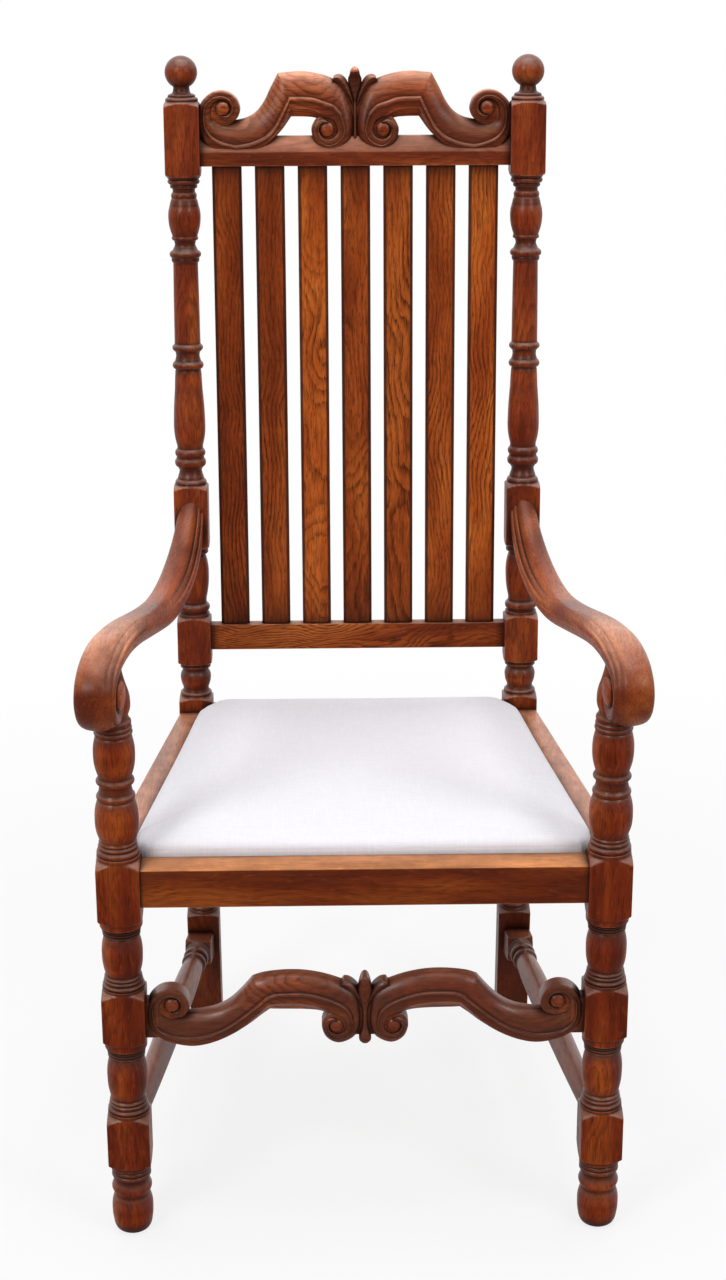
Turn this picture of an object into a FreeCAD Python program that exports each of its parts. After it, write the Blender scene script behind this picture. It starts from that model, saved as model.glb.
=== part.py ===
import FreeCAD, Part
import os
import re

import Sketcher
from FreeCAD import Placement, Rotation, Vector

# A high slat-back oak armchair with a drop-in seat.
# X runs to the right seen from the front, Y to the back and Z up, with the floor at zero.
# Lengths are in millimetres and angles in degrees.
# The origin is under the middle of the chair, halfway from the arms' noses to the finials' backs.

DRIVING_SIZES = [
    ("leg_stock", 46, "front leg, side of the square stock"),
    ("leg_spread", 258, "front leg axis, out from the middle"),
    ("post_stock", 40, "rear post, side of the square stock"),
    ("post_spread", 197, "rear post axis, out from the middle"),
    ("axis_depth", 440, "front leg axis to rear post axis at seat height"),
    ("seat_height", 445, "top of the seat rails"),
    ("rail_height", 43, "seat rails, bottom to top"),
    ("back_rake", 3.97, "lean of the back, degrees"),
    ("foot_kick", 5.4, "lean of the rear feet, degrees"),
    ("foot_block_base", 89, "lowest square of the front leg, lower edge"),
    ("foot_block_top", 145, "and upper edge"),
    ("mid_block_base", 240, "square that takes the front stretcher, lower edge"),
    ("mid_block_top", 297, "and upper edge"),
    ("seat_block_base", 384, "square that takes the seat rails, lower edge"),
    ("seat_block_top", 451, "and upper edge"),
    ("arm_seat", 667, "where the arm sits on the front leg"),
    ("block_shoulder", 8, "how far a square's corners are turned away"),
    ("turning_clear", 1.5, "reach of the turning cut, times half the stock"),
    ("post_block_drop", 60, "square rear seat block, below the seat's top"),
    ("post_block_rise", 14, "and above it"),
    ("kick_turning", 226, "length of the lower rear turning"),
    ("rail_block_low", 58, "post square at the lower back rail, from the seat's top"),
    ("rail_block_high", 115, "and its upper edge"),
    ("arm_block_low", 202, "post square at the arm"),
    ("arm_block_high", 277, "and its upper edge"),
    ("crest_block_drop", 11.4, "post square at the crest, below the crest's underside"),
    ("crest_block_height", 82, "and its length"),
    ("finial_rise", 34, "middle of the ball finial, above that square"),
    ("finial_radius", 18.5, "ball finial"),
    ("side_rail_inset", 4, "side rail behind the leg's outer face"),
    ("side_rail_edge", 1, "and behind the post's outer face"),
    ("side_margin", 26, "side rail beside the seat, across"),
    ("front_setback", 4, "front rail behind the leg's front face"),
    ("front_margin", 35, "front rail before the seat"),
    ("rear_margin", 22, "rear rail behind the seat"),
    ("rear_setback", 5, "rear rail before the posts' back faces"),
    ("ledge_width", 9, "rebate that carries the seat, width"),
    ("ledge_depth", 18, "and depth"),
    ("tenon_thickness", 10, "rail tenons"),
    ("tenon_length", 16, "rail tenons"),
    ("tenon_shoulder", 6, "rail tenons, in from the rail's top and bottom"),
    ("mortise_clearance", 0.2, "each side of a tenon"),
    ("mortise_spare", 1, "glue room past a tenon's end"),
    ("dowel_radius", 9, "round tenon at the top of the front leg"),
    ("dowel_length", 17, "round tenon at the top of the front leg"),
    ("crest_base", 650.4, "underside of the crest, from the seat's top up the lean"),
    ("crest_height", 105.8, "crest, bottom to the bud's top"),
    ("crest_board", 18, "crest, thickness of the scrolled board"),
    ("crest_bar", 24, "crest, thickness of the bottom bar"),
    ("bar_front", 15.8, "crest bar, height of its front face"),
    ("bar_back", 32.8, "crest bar, height behind the bevel"),
    ("bar_bevel", 10, "crest bar, depth of the bevel"),
    ("eye_radius", 10, "crest volute eyes"),
    ("eye_proud", 4, "volute eyes, in front of the board"),
    ("low_rail_base", 75, "lower back rail, from the seat's top"),
    ("low_rail_height", 31, "lower back rail"),
    ("low_rail_thickness", 18, "lower back rail"),
    ("slat_width", 34, "back slats"),
    ("slat_thickness", 10, "back slats"),
    ("slat_pitch", 49.1, "back slats, middle to middle"),
    ("slat_chamfer", 3, "back slats, front edges"),
    ("slat_tenon", 10, "back slats, length in each rail"),
    ("slat_tenon_thickness", 5, "back slats, tenon"),
    ("arm_width", 40, "arm, across"),
    ("arm_offset", 4, "arm's middle outside the leg's axis"),
    ("arm_bottom", 609, "lowest point of the arm's scroll"),
    ("arm_rise", 97, "from there to the arm's joint in the post"),
    ("arm_nose", 64, "arm's scroll before the leg's axis"),
    ("arm_tenon_height", 22, "arm's tenon in the post"),
    ("arm_tenon_reach", 12, "arm's tenon past the post's axis line"),
    ("arm_tenon_drop", 10, "arm's tenon below the joint's top"),
    ("roundel_radius", 15, "disc at the middle of the arm's scroll"),
    ("roundel_proud", 3, "disc, out of the arm's face"),
    ("scribe_radius", 19.4, "scroll cut round the leg's turning"),
    ("stretcher_base", 230, "front stretcher, lowest point"),
    ("stretcher_height", 83, "front stretcher"),
    ("stretcher_board", 22, "front stretcher, thickness"),
    ("stretcher_tenon_base", 249, "front stretcher's tenon, lower edge"),
    ("stretcher_tenon_height", 37.6, "front stretcher's tenon"),
    ("scroll_eye_radius", 9, "front stretcher, volute eyes"),
    ("side_bar_height", 120, "side stretcher's axis, from the floor"),
    ("side_bar_block", 32, "side stretcher, its square end"),
    ("side_bar_square", 22, "side stretcher, length of that square"),
    ("side_bar_pin", 9.9, "side stretcher, radius of its front tenon"),
    ("side_bar_dowel", 8, "and of its rear tenon"),
    ("corner_leg", 60, "corner block, along each rail"),
    ("corner_drop", 3, "corner block, below the ledge"),
    ("corner_height", 20, "corner block"),
    ("cloth", 1.2, "seat cover"),
    ("seat_play", 1.2, "seat beside the rails"),
    ("soft_gap", 0.3, "between soft layers and wood"),
    ("frame_width", 50, "seat frame, each side"),
    ("frame_thickness", 18, "seat frame"),
    ("web_width", 50, "webbing"),
    ("web_thickness", 2, "webbing"),
    ("web_lap", 12, "webbing, short of the frame's outer edge"),
    ("crown_height", 23, "seat, crown above the rails"),
    ("turn_in", 24, "seat cover turned under the frame"),
    ("frame_tenon", 20, "seat frame's tenons, length"),
    ("frame_tenon_width", 25, "seat frame's tenons"),
    ("frame_tenon_height", 6, "seat frame's tenons"),
    ("rim_rise", 2, "where the crown starts, above the rails"),
    ("web_pitch", 110, "webbing strips, middle to middle"),
    ("overrun", 2, "how far a cut passes the stock"),
]

# Turned shapes, from the lower level to the upper one, as (height share, radius share of half
# the stock). Four numbers are a rounded stretch: a point on the curve, then its end.
FOOT_SHARES = [
    (0, 0.60), (0.03, 0.80, 0.12, 0.92), (0.30, 0.985, 0.50, 0.885), (0.53, 0.885),
    (0.62, 0.97, 0.71, 0.885), (0.75, 0.885), (0.80, 0.96, 0.85, 0.885),
    (0.895, 0.955, 0.94, 0.90), (1, 1),
]
LEG_VASE_SHARES = [
    (0, 1), (0.04, 0.95), (0.07, 0.88), (0.12, 0.96, 0.17, 0.87), (0.215, 0.94, 0.26, 0.84),
    (0.29, 0.88), (0.35, 0.82), (0.53, 0.955, 0.78, 0.83), (0.81, 0.83), (0.83, 0.88),
    (0.85, 0.84), (0.90, 0.95, 0.94, 0.88), (0.96, 0.95), (1, 1),
]
LEG_TOP_SHARES = [
    (0, 1), (0.02, 0.99), (0.035, 0.91), (0.055, 0.96, 0.075, 0.88), (0.095, 0.85),
    (0.21, 1.01, 0.31, 0.89), (0.325, 0.86), (0.34, 0.91, 0.355, 0.80), (0.385, 0.74),
    (0.415, 0.89, 0.44, 0.80), (0.55, 0.95, 0.65, 0.84), (0.685, 0.89, 0.705, 0.80),
    (0.725, 0.87, 0.745, 0.74), (0.755, 0.70), (0.815, 0.815, 0.88, 0.72), (0.93, 0.587),
    (0.98, 0.47), (1, 0.46),
]
POST_SEAT_SHARES = [
    (0, 1), (0.07, 0.93), (0.16, 0.93), (0.20, 0.80), (0.27, 0.775), (0.55, 0.93, 0.80, 0.80),
    (0.85, 0.80), (0.92, 0.93), (1, 1),
]
POST_VASE_SHARES = [
    (0, 1), (0.05, 0.94), (0.08, 0.86), (0.16, 0.95, 0.22, 0.80), (0.25, 0.775), (0.28, 0.80),
    (0.60, 0.95, 0.87, 0.82), (0.895, 0.775), (0.93, 0.94), (0.97, 0.94), (1, 1),
]
POST_BACK_SHARES = [
    (0, 1), (0.013, 0.93), (0.023, 0.875), (0.033, 0.755), (0.053, 0.66), (0.064, 0.80),
    (0.083, 0.93, 0.094, 0.84), (0.108, 0.89, 0.133, 0.77), (0.20, 0.925, 0.32, 0.815),
    (0.381, 0.775), (0.39, 0.815), (0.40, 0.92, 0.412, 0.79), (0.433, 0.69), (0.453, 0.89, 0.472, 0.76),
    (0.608, 0.745), (0.73, 0.72), (0.755, 0.91, 0.772, 0.66), (0.787, 0.585), (0.806, 0.74),
    (0.872, 0.93, 0.929, 0.75), (0.949, 0.715), (0.958, 0.645), (0.985, 0.93, 0.995, 0.95), (1, 1),
]
FINIAL_SHARES = [
    (0, 1), (0.06, 0.92), (0.12, 0.90), (0.19, 0.735), (0.29, 0.475), (0.35, 0.5),
    (0.654, 0.925, 1, 0.1),
]
KICK_SHARES = [
    (0, 1), (0.02, 0.90), (0.045, 0.95, 0.07, 0.82), (0.09, 0.75), (0.25, 0.93, 0.42, 0.76),
    (0.44, 0.70), (0.465, 0.90, 0.49, 0.72), (0.51, 0.66), (0.535, 0.90, 0.56, 0.76),
    (0.72, 0.93, 0.88, 0.80), (0.90, 0.74), (0.925, 0.93, 0.95, 0.82), (0.97, 0.92), (1, 1),
]
# The side stretcher, from the leg's axis to its square: share of that length, radius share of
# half the square.
SIDE_BAR_SHARES = [
    (0.10, 0.70), (0.45, 0.88, 0.82, 0.88), (0.90, 0.78), (0.92, 0.80), (0.945, 0.95, 0.97, 0.80),
    (1, 0.84),
]
# Right half of the crest's outline, from the bud's top round to the middle of the underside:
# across as a share of the space to the post, up as a share of the crest's height.
CREST_SHARES = [
    (0, 1), (0.035, 0.97), (0.07, 0.925), (0.11, 0.955, 0.16, 0.94), (0.35, 1.0, 0.465, 0.98),
    (0.505, 0.95), (0.60, 0.67, 0.66, 0.54), (0.70, 0.495, 0.74, 0.50), (0.75, 0.70, 0.85, 0.788),
    (0.94, 0.76, 1, 0.66), (1, 0), (0, 0),
]
# The opening each side of the bud.
CREST_GAP_SHARES = [
    (0.28, 0.31), (0.475, 0.31), (0.44, 0.45), (0.40, 0.515), (0.30, 0.52), (0.28, 0.46),
]
CREST_EYE_SHARES = [(0.85, 0.60), (0.18, 0.385)]
# Right half of the front stretcher, from the upper knob round to the lower one.
STRETCHER_SHARES = [
    (0, 0.943), (0.03, 0.853), (0.06, 0.876), (0.12, 0.887), (0.17, 0.937),
    (0.30, 1.0, 0.485, 0.933), (0.513, 0.904), (0.57, 0.66, 0.65, 0.501),
    (0.70, 0.451, 0.775, 0.446), (0.785, 0.728, 0.868, 0.831), (0.945, 0.783, 1, 0.627),
    (1, 0.136), (0.80, 0, 0.60, 0.121), (0.52, 0.237, 0.434, 0.464), (0.40, 0.493),
    (0.245, 0.493), (0.215, 0.453), (0.205, 0.193, 0.135, 0.016), (0.09, 0.023, 0.052, 0.087),
    (0.025, 0.068), (0, 0.04),
]
SCROLL_EYE_SHARES = [(0.879, 0.602), (0.132, 0.283)]
# The arm seen from the side: along as a share of the distance from leg to post, up as a share
# of the arm's rise. First from the joint's top forward over the scroll to the leg, then back
# below from the leg to the post.
ARM_OVER_SHARES = [
    (1.0, 1.0), (0.86, 0.55, 0.745, 0.42), (0.62, 0.405, 0.458, 0.50), (0.23, 0.735),
    (0.11, 0.84, 0.01, 0.885), (-0.10, 0.76, -0.144, 0.42), (-0.13, 0.13, -0.08, 0),
    (-0.05, 0.005, -0.03, 0.10),
]
ARM_SEAT_SHARES = (-0.032, 0.05)
ARM_UNDER_SHARES = [(0.11, 0.565), (0.22, 0.465), (0.44, 0.225), (0.60, 0.135, 0.755, 0.155),
                    (0.90, 0.32, 1.0, 0.58)]
ROUNDEL_SHARES = (-0.075, 0.40)
# Right half of the drop-in seat in plan, from the middle of its front edge to the middle of its
# rear one: across as a share of half its front width, back as a share of its depth.
SEAT_SHARES = [
    (0, 0), (0.893, 0), (0.943, 0.031, 0.963, 0.108), (0.77, 0.909), (0.71, 0.952, 0.67, 1), (0, 1),
]
SEAT_SIDE_SHARES = (0.963, 0.108, 0.77, 0.909)
# The crown: height share, then how far the outline draws in, as a share of half the width.
CROWN_SHARES = [(0, 0), (0.42, 0.012), (0.75, 0.06), (0.94, 0.20), (1, 0.42)]
STUFFING_SHARES = [(0, 0.035), (0.60, 0.08), (0.90, 0.215), (1, 0.43)]

doc = FreeCAD.newDocument("SlatBackArmchair")
sheet = doc.addObject("Spreadsheet::Sheet", "Sizes")
for row, (alias, number, note) in enumerate(DRIVING_SIZES, start=1):
    sheet.set("A%d" % row, alias.replace("_", " "))
    sheet.set("B%d" % row, str(number))
    sheet.set("C%d" % row, note)
    sheet.setAlias("B%d" % row, alias)
doc.recompute()

# Places that follow from the driving sizes, as formulas.
HALF_LEG = "leg_stock / 2"
HALF_POST = "post_stock / 2"
SPLAY = "atan((leg_spread + arm_offset - post_spread) / axis_depth)"
ARM_RUN = "(axis_depth / cos(%s))" % SPLAY
FRONT_REACH = "(arm_nose * cos(%s) + arm_width / 2 * sin(%s))" % (SPLAY, SPLAY)
CREST_BLOCK_LOW = "(crest_base - crest_block_drop)"
CREST_BLOCK_HIGH = "(%s + crest_block_height)" % CREST_BLOCK_LOW
FINIAL_CENTRE = "(%s + finial_rise)" % CREST_BLOCK_HIGH
BACK_REACH = "(axis_depth + %s * sin(back_rake) + finial_radius)" % FINIAL_CENTRE
LEG_LINE = "(%s - %s) / 2" % (FRONT_REACH, BACK_REACH)
POST_LINE = "%s + axis_depth" % LEG_LINE
RAIL_BASE = "seat_height - rail_height"
LEDGE = "seat_height - ledge_depth"
ALL_WIDE = "2 * (leg_spread + leg_stock)"
LEG_INNER = "(leg_spread - leg_stock / 2)"
POST_INNER = "(post_spread - post_stock / 2)"


def formula(text):
    """The text with every size's name pointing at its cell."""
    return re.sub(r"\b([a-z]+(?:_[a-z]+)*)\b(?!\()", link, text)


def link(match):
    word = match.group(1)
    return "Sizes." + word if word in ALIASES else word


def value(text):
    """What a formula gives at this moment, as a number."""
    result = sheet.evalExpression(formula(str(text)))
    return getattr(result, "Value", result)


def drive(thing, prop, text):
    thing.setExpression(prop, formula(str(text)))


ALIASES = [alias for alias, number, note in DRIVING_SIZES]
SUBPARTS = []


def new_body(label, across="0", back=LEG_LINE, up="0", lean=None, swing=None):
    """An empty body, standing at its place, leaned back or swung in plan."""
    body = doc.addObject("PartDesign::Body", label)
    body.Label = label
    if lean:
        body.Placement = Placement(Vector(), Rotation(Vector(-1, 0, 0), 1))
        drive(body, "Placement.Rotation.Angle", lean)
    if swing:
        body.Placement = Placement(Vector(), Rotation(Vector(0, 0, -1), 1))
        drive(body, "Placement.Rotation.Angle", swing)
    drive(body, "Placement.Base.x", across)
    drive(body, "Placement.Base.y", back)
    drive(body, "Placement.Base.z", up)
    SUBPARTS.append(body)
    return body


def mirror_image(source, label):
    """The same piece for the chair's other side."""
    other = doc.addObject("Part::Mirroring", label)
    other.Label = label
    other.Source = source
    other.Normal = (1, 0, 0)
    SUBPARTS.append(other)
    return other


def origin_plane(body, role):
    return [item for item in body.Origin.OriginFeatures if item.Role == role][0]


def new_sketch(body, role, name, turn=None, turn_axis=Vector(0, 0, 1), down=None, lift=None):
    """An empty sketch on an origin plane, turned about that plane's normal or lifted off it."""
    sketch = body.newObject("Sketcher::SketchObject", name)
    sketch.AttachmentSupport = (origin_plane(body, role), [""])
    sketch.MapMode = "FlatFace"
    if turn:
        sketch.AttachmentOffset = Placement(Vector(), Rotation(turn_axis, 1))
        drive(sketch, "AttachmentOffset.Rotation.Angle", turn)
    if down:
        drive(sketch, "AttachmentOffset.Base.y", down)
    if lift:
        drive(sketch, "AttachmentOffset.Base.z", lift)
    return sketch


def held(sketch, geometry, end, corner, constraints, drivers):
    """Two driven distances that hold one point of a sketch."""
    for kind, text in zip(("DistanceX", "DistanceY"), corner):
        drivers.append((len(constraints), text))
        constraints.append(Sketcher.Constraint(kind, -1, 1, geometry, end, value(text)))


def draw(sketch, corners):
    """A closed outline through corners given as formulas: (across, up) ends a straight edge,
    (across, up, across, up) an arc through its first point."""
    constraints = []
    drivers = []
    edges = []
    for index, corner in enumerate(corners):
        points = [Vector(value(corner[n]), value(corner[n + 1]), 0) for n in range(0, len(corner), 2)]
        before = corners[index - 1]
        start = Vector(value(before[-2]), value(before[-1]), 0)
        end = points[-1]
        if len(points) == 2:
            edge = sketch.addGeometry(Part.Arc(start, points[0], end))
            mark = sketch.addGeometry(Part.Point(points[0]), True)
            held(sketch, mark, 1, corner[:2], constraints, drivers)
            constraints.append(Sketcher.Constraint("PointOnObject", mark, 1, edge))
        else:
            edge = sketch.addGeometry(Part.LineSegment(start, end))
        first_end = (sketch.getPoint(edge, 1) - end).Length
        second_end = (sketch.getPoint(edge, 2) - end).Length
        far = 2 if second_end < first_end else 1
        edges.append((edge, 3 - far, far))
        held(sketch, edge, far, corner[-2:], constraints, drivers)
    for index, (edge, near, far) in enumerate(edges):
        last_edge, last_near, last_far = edges[index - 1]
        constraints.append(Sketcher.Constraint("Coincident", last_edge, last_far, edge, near))
    first = sketch.ConstraintCount
    sketch.addConstraint(constraints)
    for index, text in drivers:
        drive(sketch, "Constraints[%d]" % (first + index), text)


def scaled(shares, across, base, rise):
    """An outline's shares as formulas."""
    corners = []
    for entry in shares:
        corner = []
        for n in range(0, len(entry), 2):
            corner.append("%s * %s" % (across, entry[n]))
            corner.append("%s + %s * %s" % (base, rise, entry[n + 1]))
        corners.append(tuple(corner))
    return corners


def both_sides(half):
    """A right half that starts and ends on the middle line, closed by its mirror image."""
    def other(pair):
        return (-pair[0], pair[1])
    loop = list(half)
    for index in range(len(half) - 1, 1, -1):
        via = other(half[index][:2]) if len(half[index]) == 4 else ()
        loop.append(via + other(half[index - 1][-2:]))
    if len(half[1]) == 4:
        loop[0] = other(half[1][:2]) + loop[0]
    return loop


def add_feature(body, kind, name, **settings):
    """One feature on a profile, with its plain settings."""
    feature = body.newObject("PartDesign::" + kind, name)
    for prop, setting in settings.items():
        setattr(feature, prop, setting)
    return feature


def pad(body, sketch, length, name, middle=False, back=False):
    feature = add_feature(body, "Pad", name, Profile=sketch, Midplane=middle, Reversed=back)
    drive(feature, "Length", length)
    sketch.Visibility = False
    return feature


def pocket(body, sketch, length, name, middle=False, back=False):
    feature = add_feature(body, "Pocket", name, Profile=sketch, Midplane=middle, Reversed=back)
    drive(feature, "Length", length)
    return feature


def block(body, cut, name, at, size, lean=None, swing=None):
    """A rectangular tenon or mortise: its lowest corner and its size along the axes. It may be
    laid out along axes leaned back about the body's origin, or swung about its upright."""
    box = body.newObject("PartDesign::SubtractiveBox" if cut else "PartDesign::AdditiveBox", name)
    box.AttachmentSupport = (origin_plane(body, "XY_Plane"), [""])
    box.MapMode = "FlatFace"
    across, back, up = ["(%s)" % text for text in at]
    if lean:
        box.AttachmentOffset = Placement(Vector(), Rotation(Vector(-1, 0, 0), 1))
        drive(box, "AttachmentOffset.Rotation.Angle", lean)
        leaned = "%s * cos(%s) + %s * sin(%s)" % (back, lean, up, lean)
        up = "%s * cos(%s) - %s * sin(%s)" % (up, lean, back, lean)
        back = leaned
    if swing:
        box.AttachmentOffset = Placement(Vector(), Rotation(Vector(0, 0, -1), 1))
        drive(box, "AttachmentOffset.Rotation.Angle", swing)
        swung = "%s * cos(%s) + %s * sin(%s)" % (across, swing, back, swing)
        back = "%s * cos(%s) - %s * sin(%s)" % (back, swing, across, swing)
        across = swung
    drive(box, "AttachmentOffset.Base.x", across)
    drive(box, "AttachmentOffset.Base.y", back)
    drive(box, "AttachmentOffset.Base.z", up)
    drive(box, "Length", size[0])
    drive(box, "Width", size[1])
    drive(box, "Height", size[2])
    return box


def tenon(body, name, at, size):
    return block(body, False, name, at, size)


def mortise(body, name, at, size, into, **turned):
    """A tenon's hole: wider by the clearance, and deeper along the axis and way it goes in."""
    place = []
    room = []
    for axis in range(3):
        if axis == into[0]:
            low = "mortise_spare" if into[1] < 0 else "overrun"
            place.append("%s - %s" % (at[axis], low))
            room.append("%s + mortise_spare + overrun" % size[axis])
        else:
            place.append("%s - mortise_clearance" % at[axis])
            room.append("%s + 2 * mortise_clearance" % size[axis])
    return block(body, True, name, place, room, **turned)


def turning(body, name, shares, half, low, high, low_end, high_end, role="XZ_Plane", **turned):
    """Everything outside a turned length, cut from the square stock all the way round. The
    ends run on into the squares by their shoulders, or past the stock."""
    clear = "%s * turning_clear" % half
    span = "((%s) - (%s))" % (high, low)
    sketch = new_sketch(body, role, name + "Profile", **turned)
    corners = [(clear, "%s - %s" % (low, low_end))]
    for entry in shares:
        corner = []
        for n in range(0, len(entry), 2):
            corner.append("%s * %s" % (half, entry[n + 1]))
            corner.append("%s + %s * %s" % (low, span, entry[n]))
        corners.append(tuple(corner))
    corners.append((clear, "%s + %s" % (high, high_end)))
    draw(sketch, corners)
    return add_feature(body, "Groove", name, Profile=sketch, ReferenceAxis=(sketch, ["V_Axis"]))


# Where the joints are, told once for the tenon and for its mortise.
RAIL_TENON_HEIGHT = "(rail_height - 2 * tenon_shoulder)"
FRONT_RAIL_FACE = "(front_setback - leg_stock / 2)"
FRONT_RAIL_TENON_BACK = "(%s + front_margin / 2 - tenon_thickness / 2)" % FRONT_RAIL_FACE
SIDE_OUTER_FRONT = "(leg_spread + leg_stock / 2 - side_rail_inset)"
SIDE_OUTER_REAR = "(post_spread + post_stock / 2 - side_rail_edge)"
SIDE_WIDTH = "(side_margin + ledge_width)"
SIDE_FRONT = "leg_stock / 2"
SIDE_REAR = "(axis_depth - post_stock / 2)"
SIDE_RUN = "(%s - %s)" % (SIDE_REAR, SIDE_FRONT)
SIDE_SLOPE = "((%s - %s) / %s)" % (SIDE_OUTER_FRONT, SIDE_OUTER_REAR, SIDE_RUN)
SIDE_TENON_FRONT = "(%s - side_margin / 2 - tenon_thickness / 2)" % SIDE_OUTER_FRONT
SIDE_TENON_REAR = "(%s - side_margin / 2 - tenon_thickness / 2)" % SIDE_OUTER_REAR
RAIL_TENON_BASE = "(%s + tenon_shoulder)" % RAIL_BASE
REAR_RAIL_BACK = "(post_stock / 2 - rear_setback)"
REAR_RAIL_TENON_BACK = "(%s - rear_margin / 2 - tenon_thickness / 2)" % REAR_RAIL_BACK
LEANED = "back_rake"
ARM_TENON_BASE = "(arm_bottom + arm_rise - arm_tenon_drop - arm_tenon_height)"
LEG_INNER_LOCAL = "(leg_stock / 2 - tenon_length)"
BLOCK_BASE = "(seat_height - post_block_drop)"
KICK_FOOT = "(%s * tan(foot_kick))" % BLOCK_BASE
SIDE_BAR_REAR = "(axis_depth + (%s - side_bar_height) * tan(foot_kick))" % BLOCK_BASE
SIDE_BAR_SWING = "atan((leg_spread - post_spread) / %s)" % SIDE_BAR_REAR
SIDE_BAR_RUN = "(%s / cos(%s))" % (SIDE_BAR_REAR, SIDE_BAR_SWING)
SIDE_BAR_FACE = "(%s - post_stock / 2 / cos(foot_kick))" % SIDE_BAR_REAR
SEAT_HALF = "(%s - side_margin - seat_play)" % SIDE_OUTER_FRONT
SEAT_FRONT = "(%s + front_margin + seat_play)" % FRONT_RAIL_FACE
SEAT_REAR = "(axis_depth + %s - rear_margin - seat_play)" % REAR_RAIL_BACK
COVER_BASE = "(%s + soft_gap)" % LEDGE
COVER_SIDE = "(ledge_depth + rim_rise - soft_gap)"
FRAME_BASE = "(%s + cloth + soft_gap)" % COVER_BASE
FRAME_TOP = "(%s + frame_thickness)" % FRAME_BASE
FRAME_INSET = "(cloth + soft_gap)"
RIM = "(seat_height + rim_rise)"
SLAT_COUNT = 7
SLAT_TENON = ("slat_width - 2 * slat_chamfer", "slat_tenon_thickness", "slat_tenon")


def build_front_leg():
    """Square stock turned between three blocks, with a round tenon up into the arm."""
    leg = new_body("front_leg_left", "-leg_spread")
    section = new_sketch(leg, "XY_Plane", "LegSection")
    draw(section, [("-" + HALF_LEG, "-" + HALF_LEG), (HALF_LEG, "-" + HALF_LEG),
                   (HALF_LEG, HALF_LEG), ("-" + HALF_LEG, HALF_LEG)])
    pad(leg, section, "arm_seat", "LegStock")
    turning(leg, "LegFoot", FOOT_SHARES, HALF_LEG, "0", "foot_block_base",
            "overrun", "block_shoulder")
    turning(leg, "LegLowVase", LEG_VASE_SHARES, HALF_LEG, "foot_block_top", "mid_block_base",
            "block_shoulder", "block_shoulder")
    turning(leg, "LegHighVase", LEG_VASE_SHARES, HALF_LEG, "mid_block_top", "seat_block_base",
            "block_shoulder", "block_shoulder")
    turning(leg, "LegTop", LEG_TOP_SHARES, HALF_LEG, "seat_block_top", "arm_seat",
            "block_shoulder", "overrun")
    top = new_sketch(leg, "XY_Plane", "LegDowelSection", lift="arm_seat")
    ring(top, "dowel_radius")
    pad(leg, top, "dowel_length", "LegDowel")
    mortise(leg, "FrontRailMortise",
            (LEG_INNER_LOCAL, FRONT_RAIL_TENON_BACK, RAIL_TENON_BASE),
            ("tenon_length", "tenon_thickness", RAIL_TENON_HEIGHT), (0, -1))
    mortise(leg, "SideRailMortise",
            ("leg_spread - %s - tenon_thickness" % SIDE_TENON_FRONT,
             "%s - tenon_length" % SIDE_FRONT, RAIL_TENON_BASE),
            ("tenon_thickness", "tenon_length", RAIL_TENON_HEIGHT), (1, -1))
    mortise(leg, "StretcherMortise",
            (LEG_INNER_LOCAL, "-tenon_thickness / 2", "stretcher_tenon_base"),
            ("tenon_length", "tenon_thickness", "stretcher_tenon_height"), (0, -1))
    hole = new_sketch(leg, "XY_Plane", "SideBarHoleProfile", turn=SIDE_BAR_SWING,
                      turn_axis=Vector(0, 0, -1), lift="side_bar_height")
    reach = "(%s + 2 * overrun) / cos(%s)" % (SIDE_FRONT, SIDE_BAR_SWING)
    radius = "side_bar_pin + mortise_clearance / 2"
    draw(hole, [("0", "0"), (radius, "0"), (radius, reach), ("0", reach)])
    add_feature(leg, "Groove", "SideBarHole", Profile=hole, ReferenceAxis=(hole, ["V_Axis"]))
    mirror_image(leg, "front_leg_right")


def ring(sketch, radius):
    """A circle about the sketch's own origin."""
    circle = sketch.addGeometry(Part.Circle(Vector(), Vector(0, 0, 1), value(radius)))
    sketch.addConstraint(Sketcher.Constraint("Coincident", circle, 3, -1, 1))
    size = sketch.addConstraint(Sketcher.Constraint("Radius", circle, value(radius)))
    drive(sketch, "Constraints[%d]" % size, radius)


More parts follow.
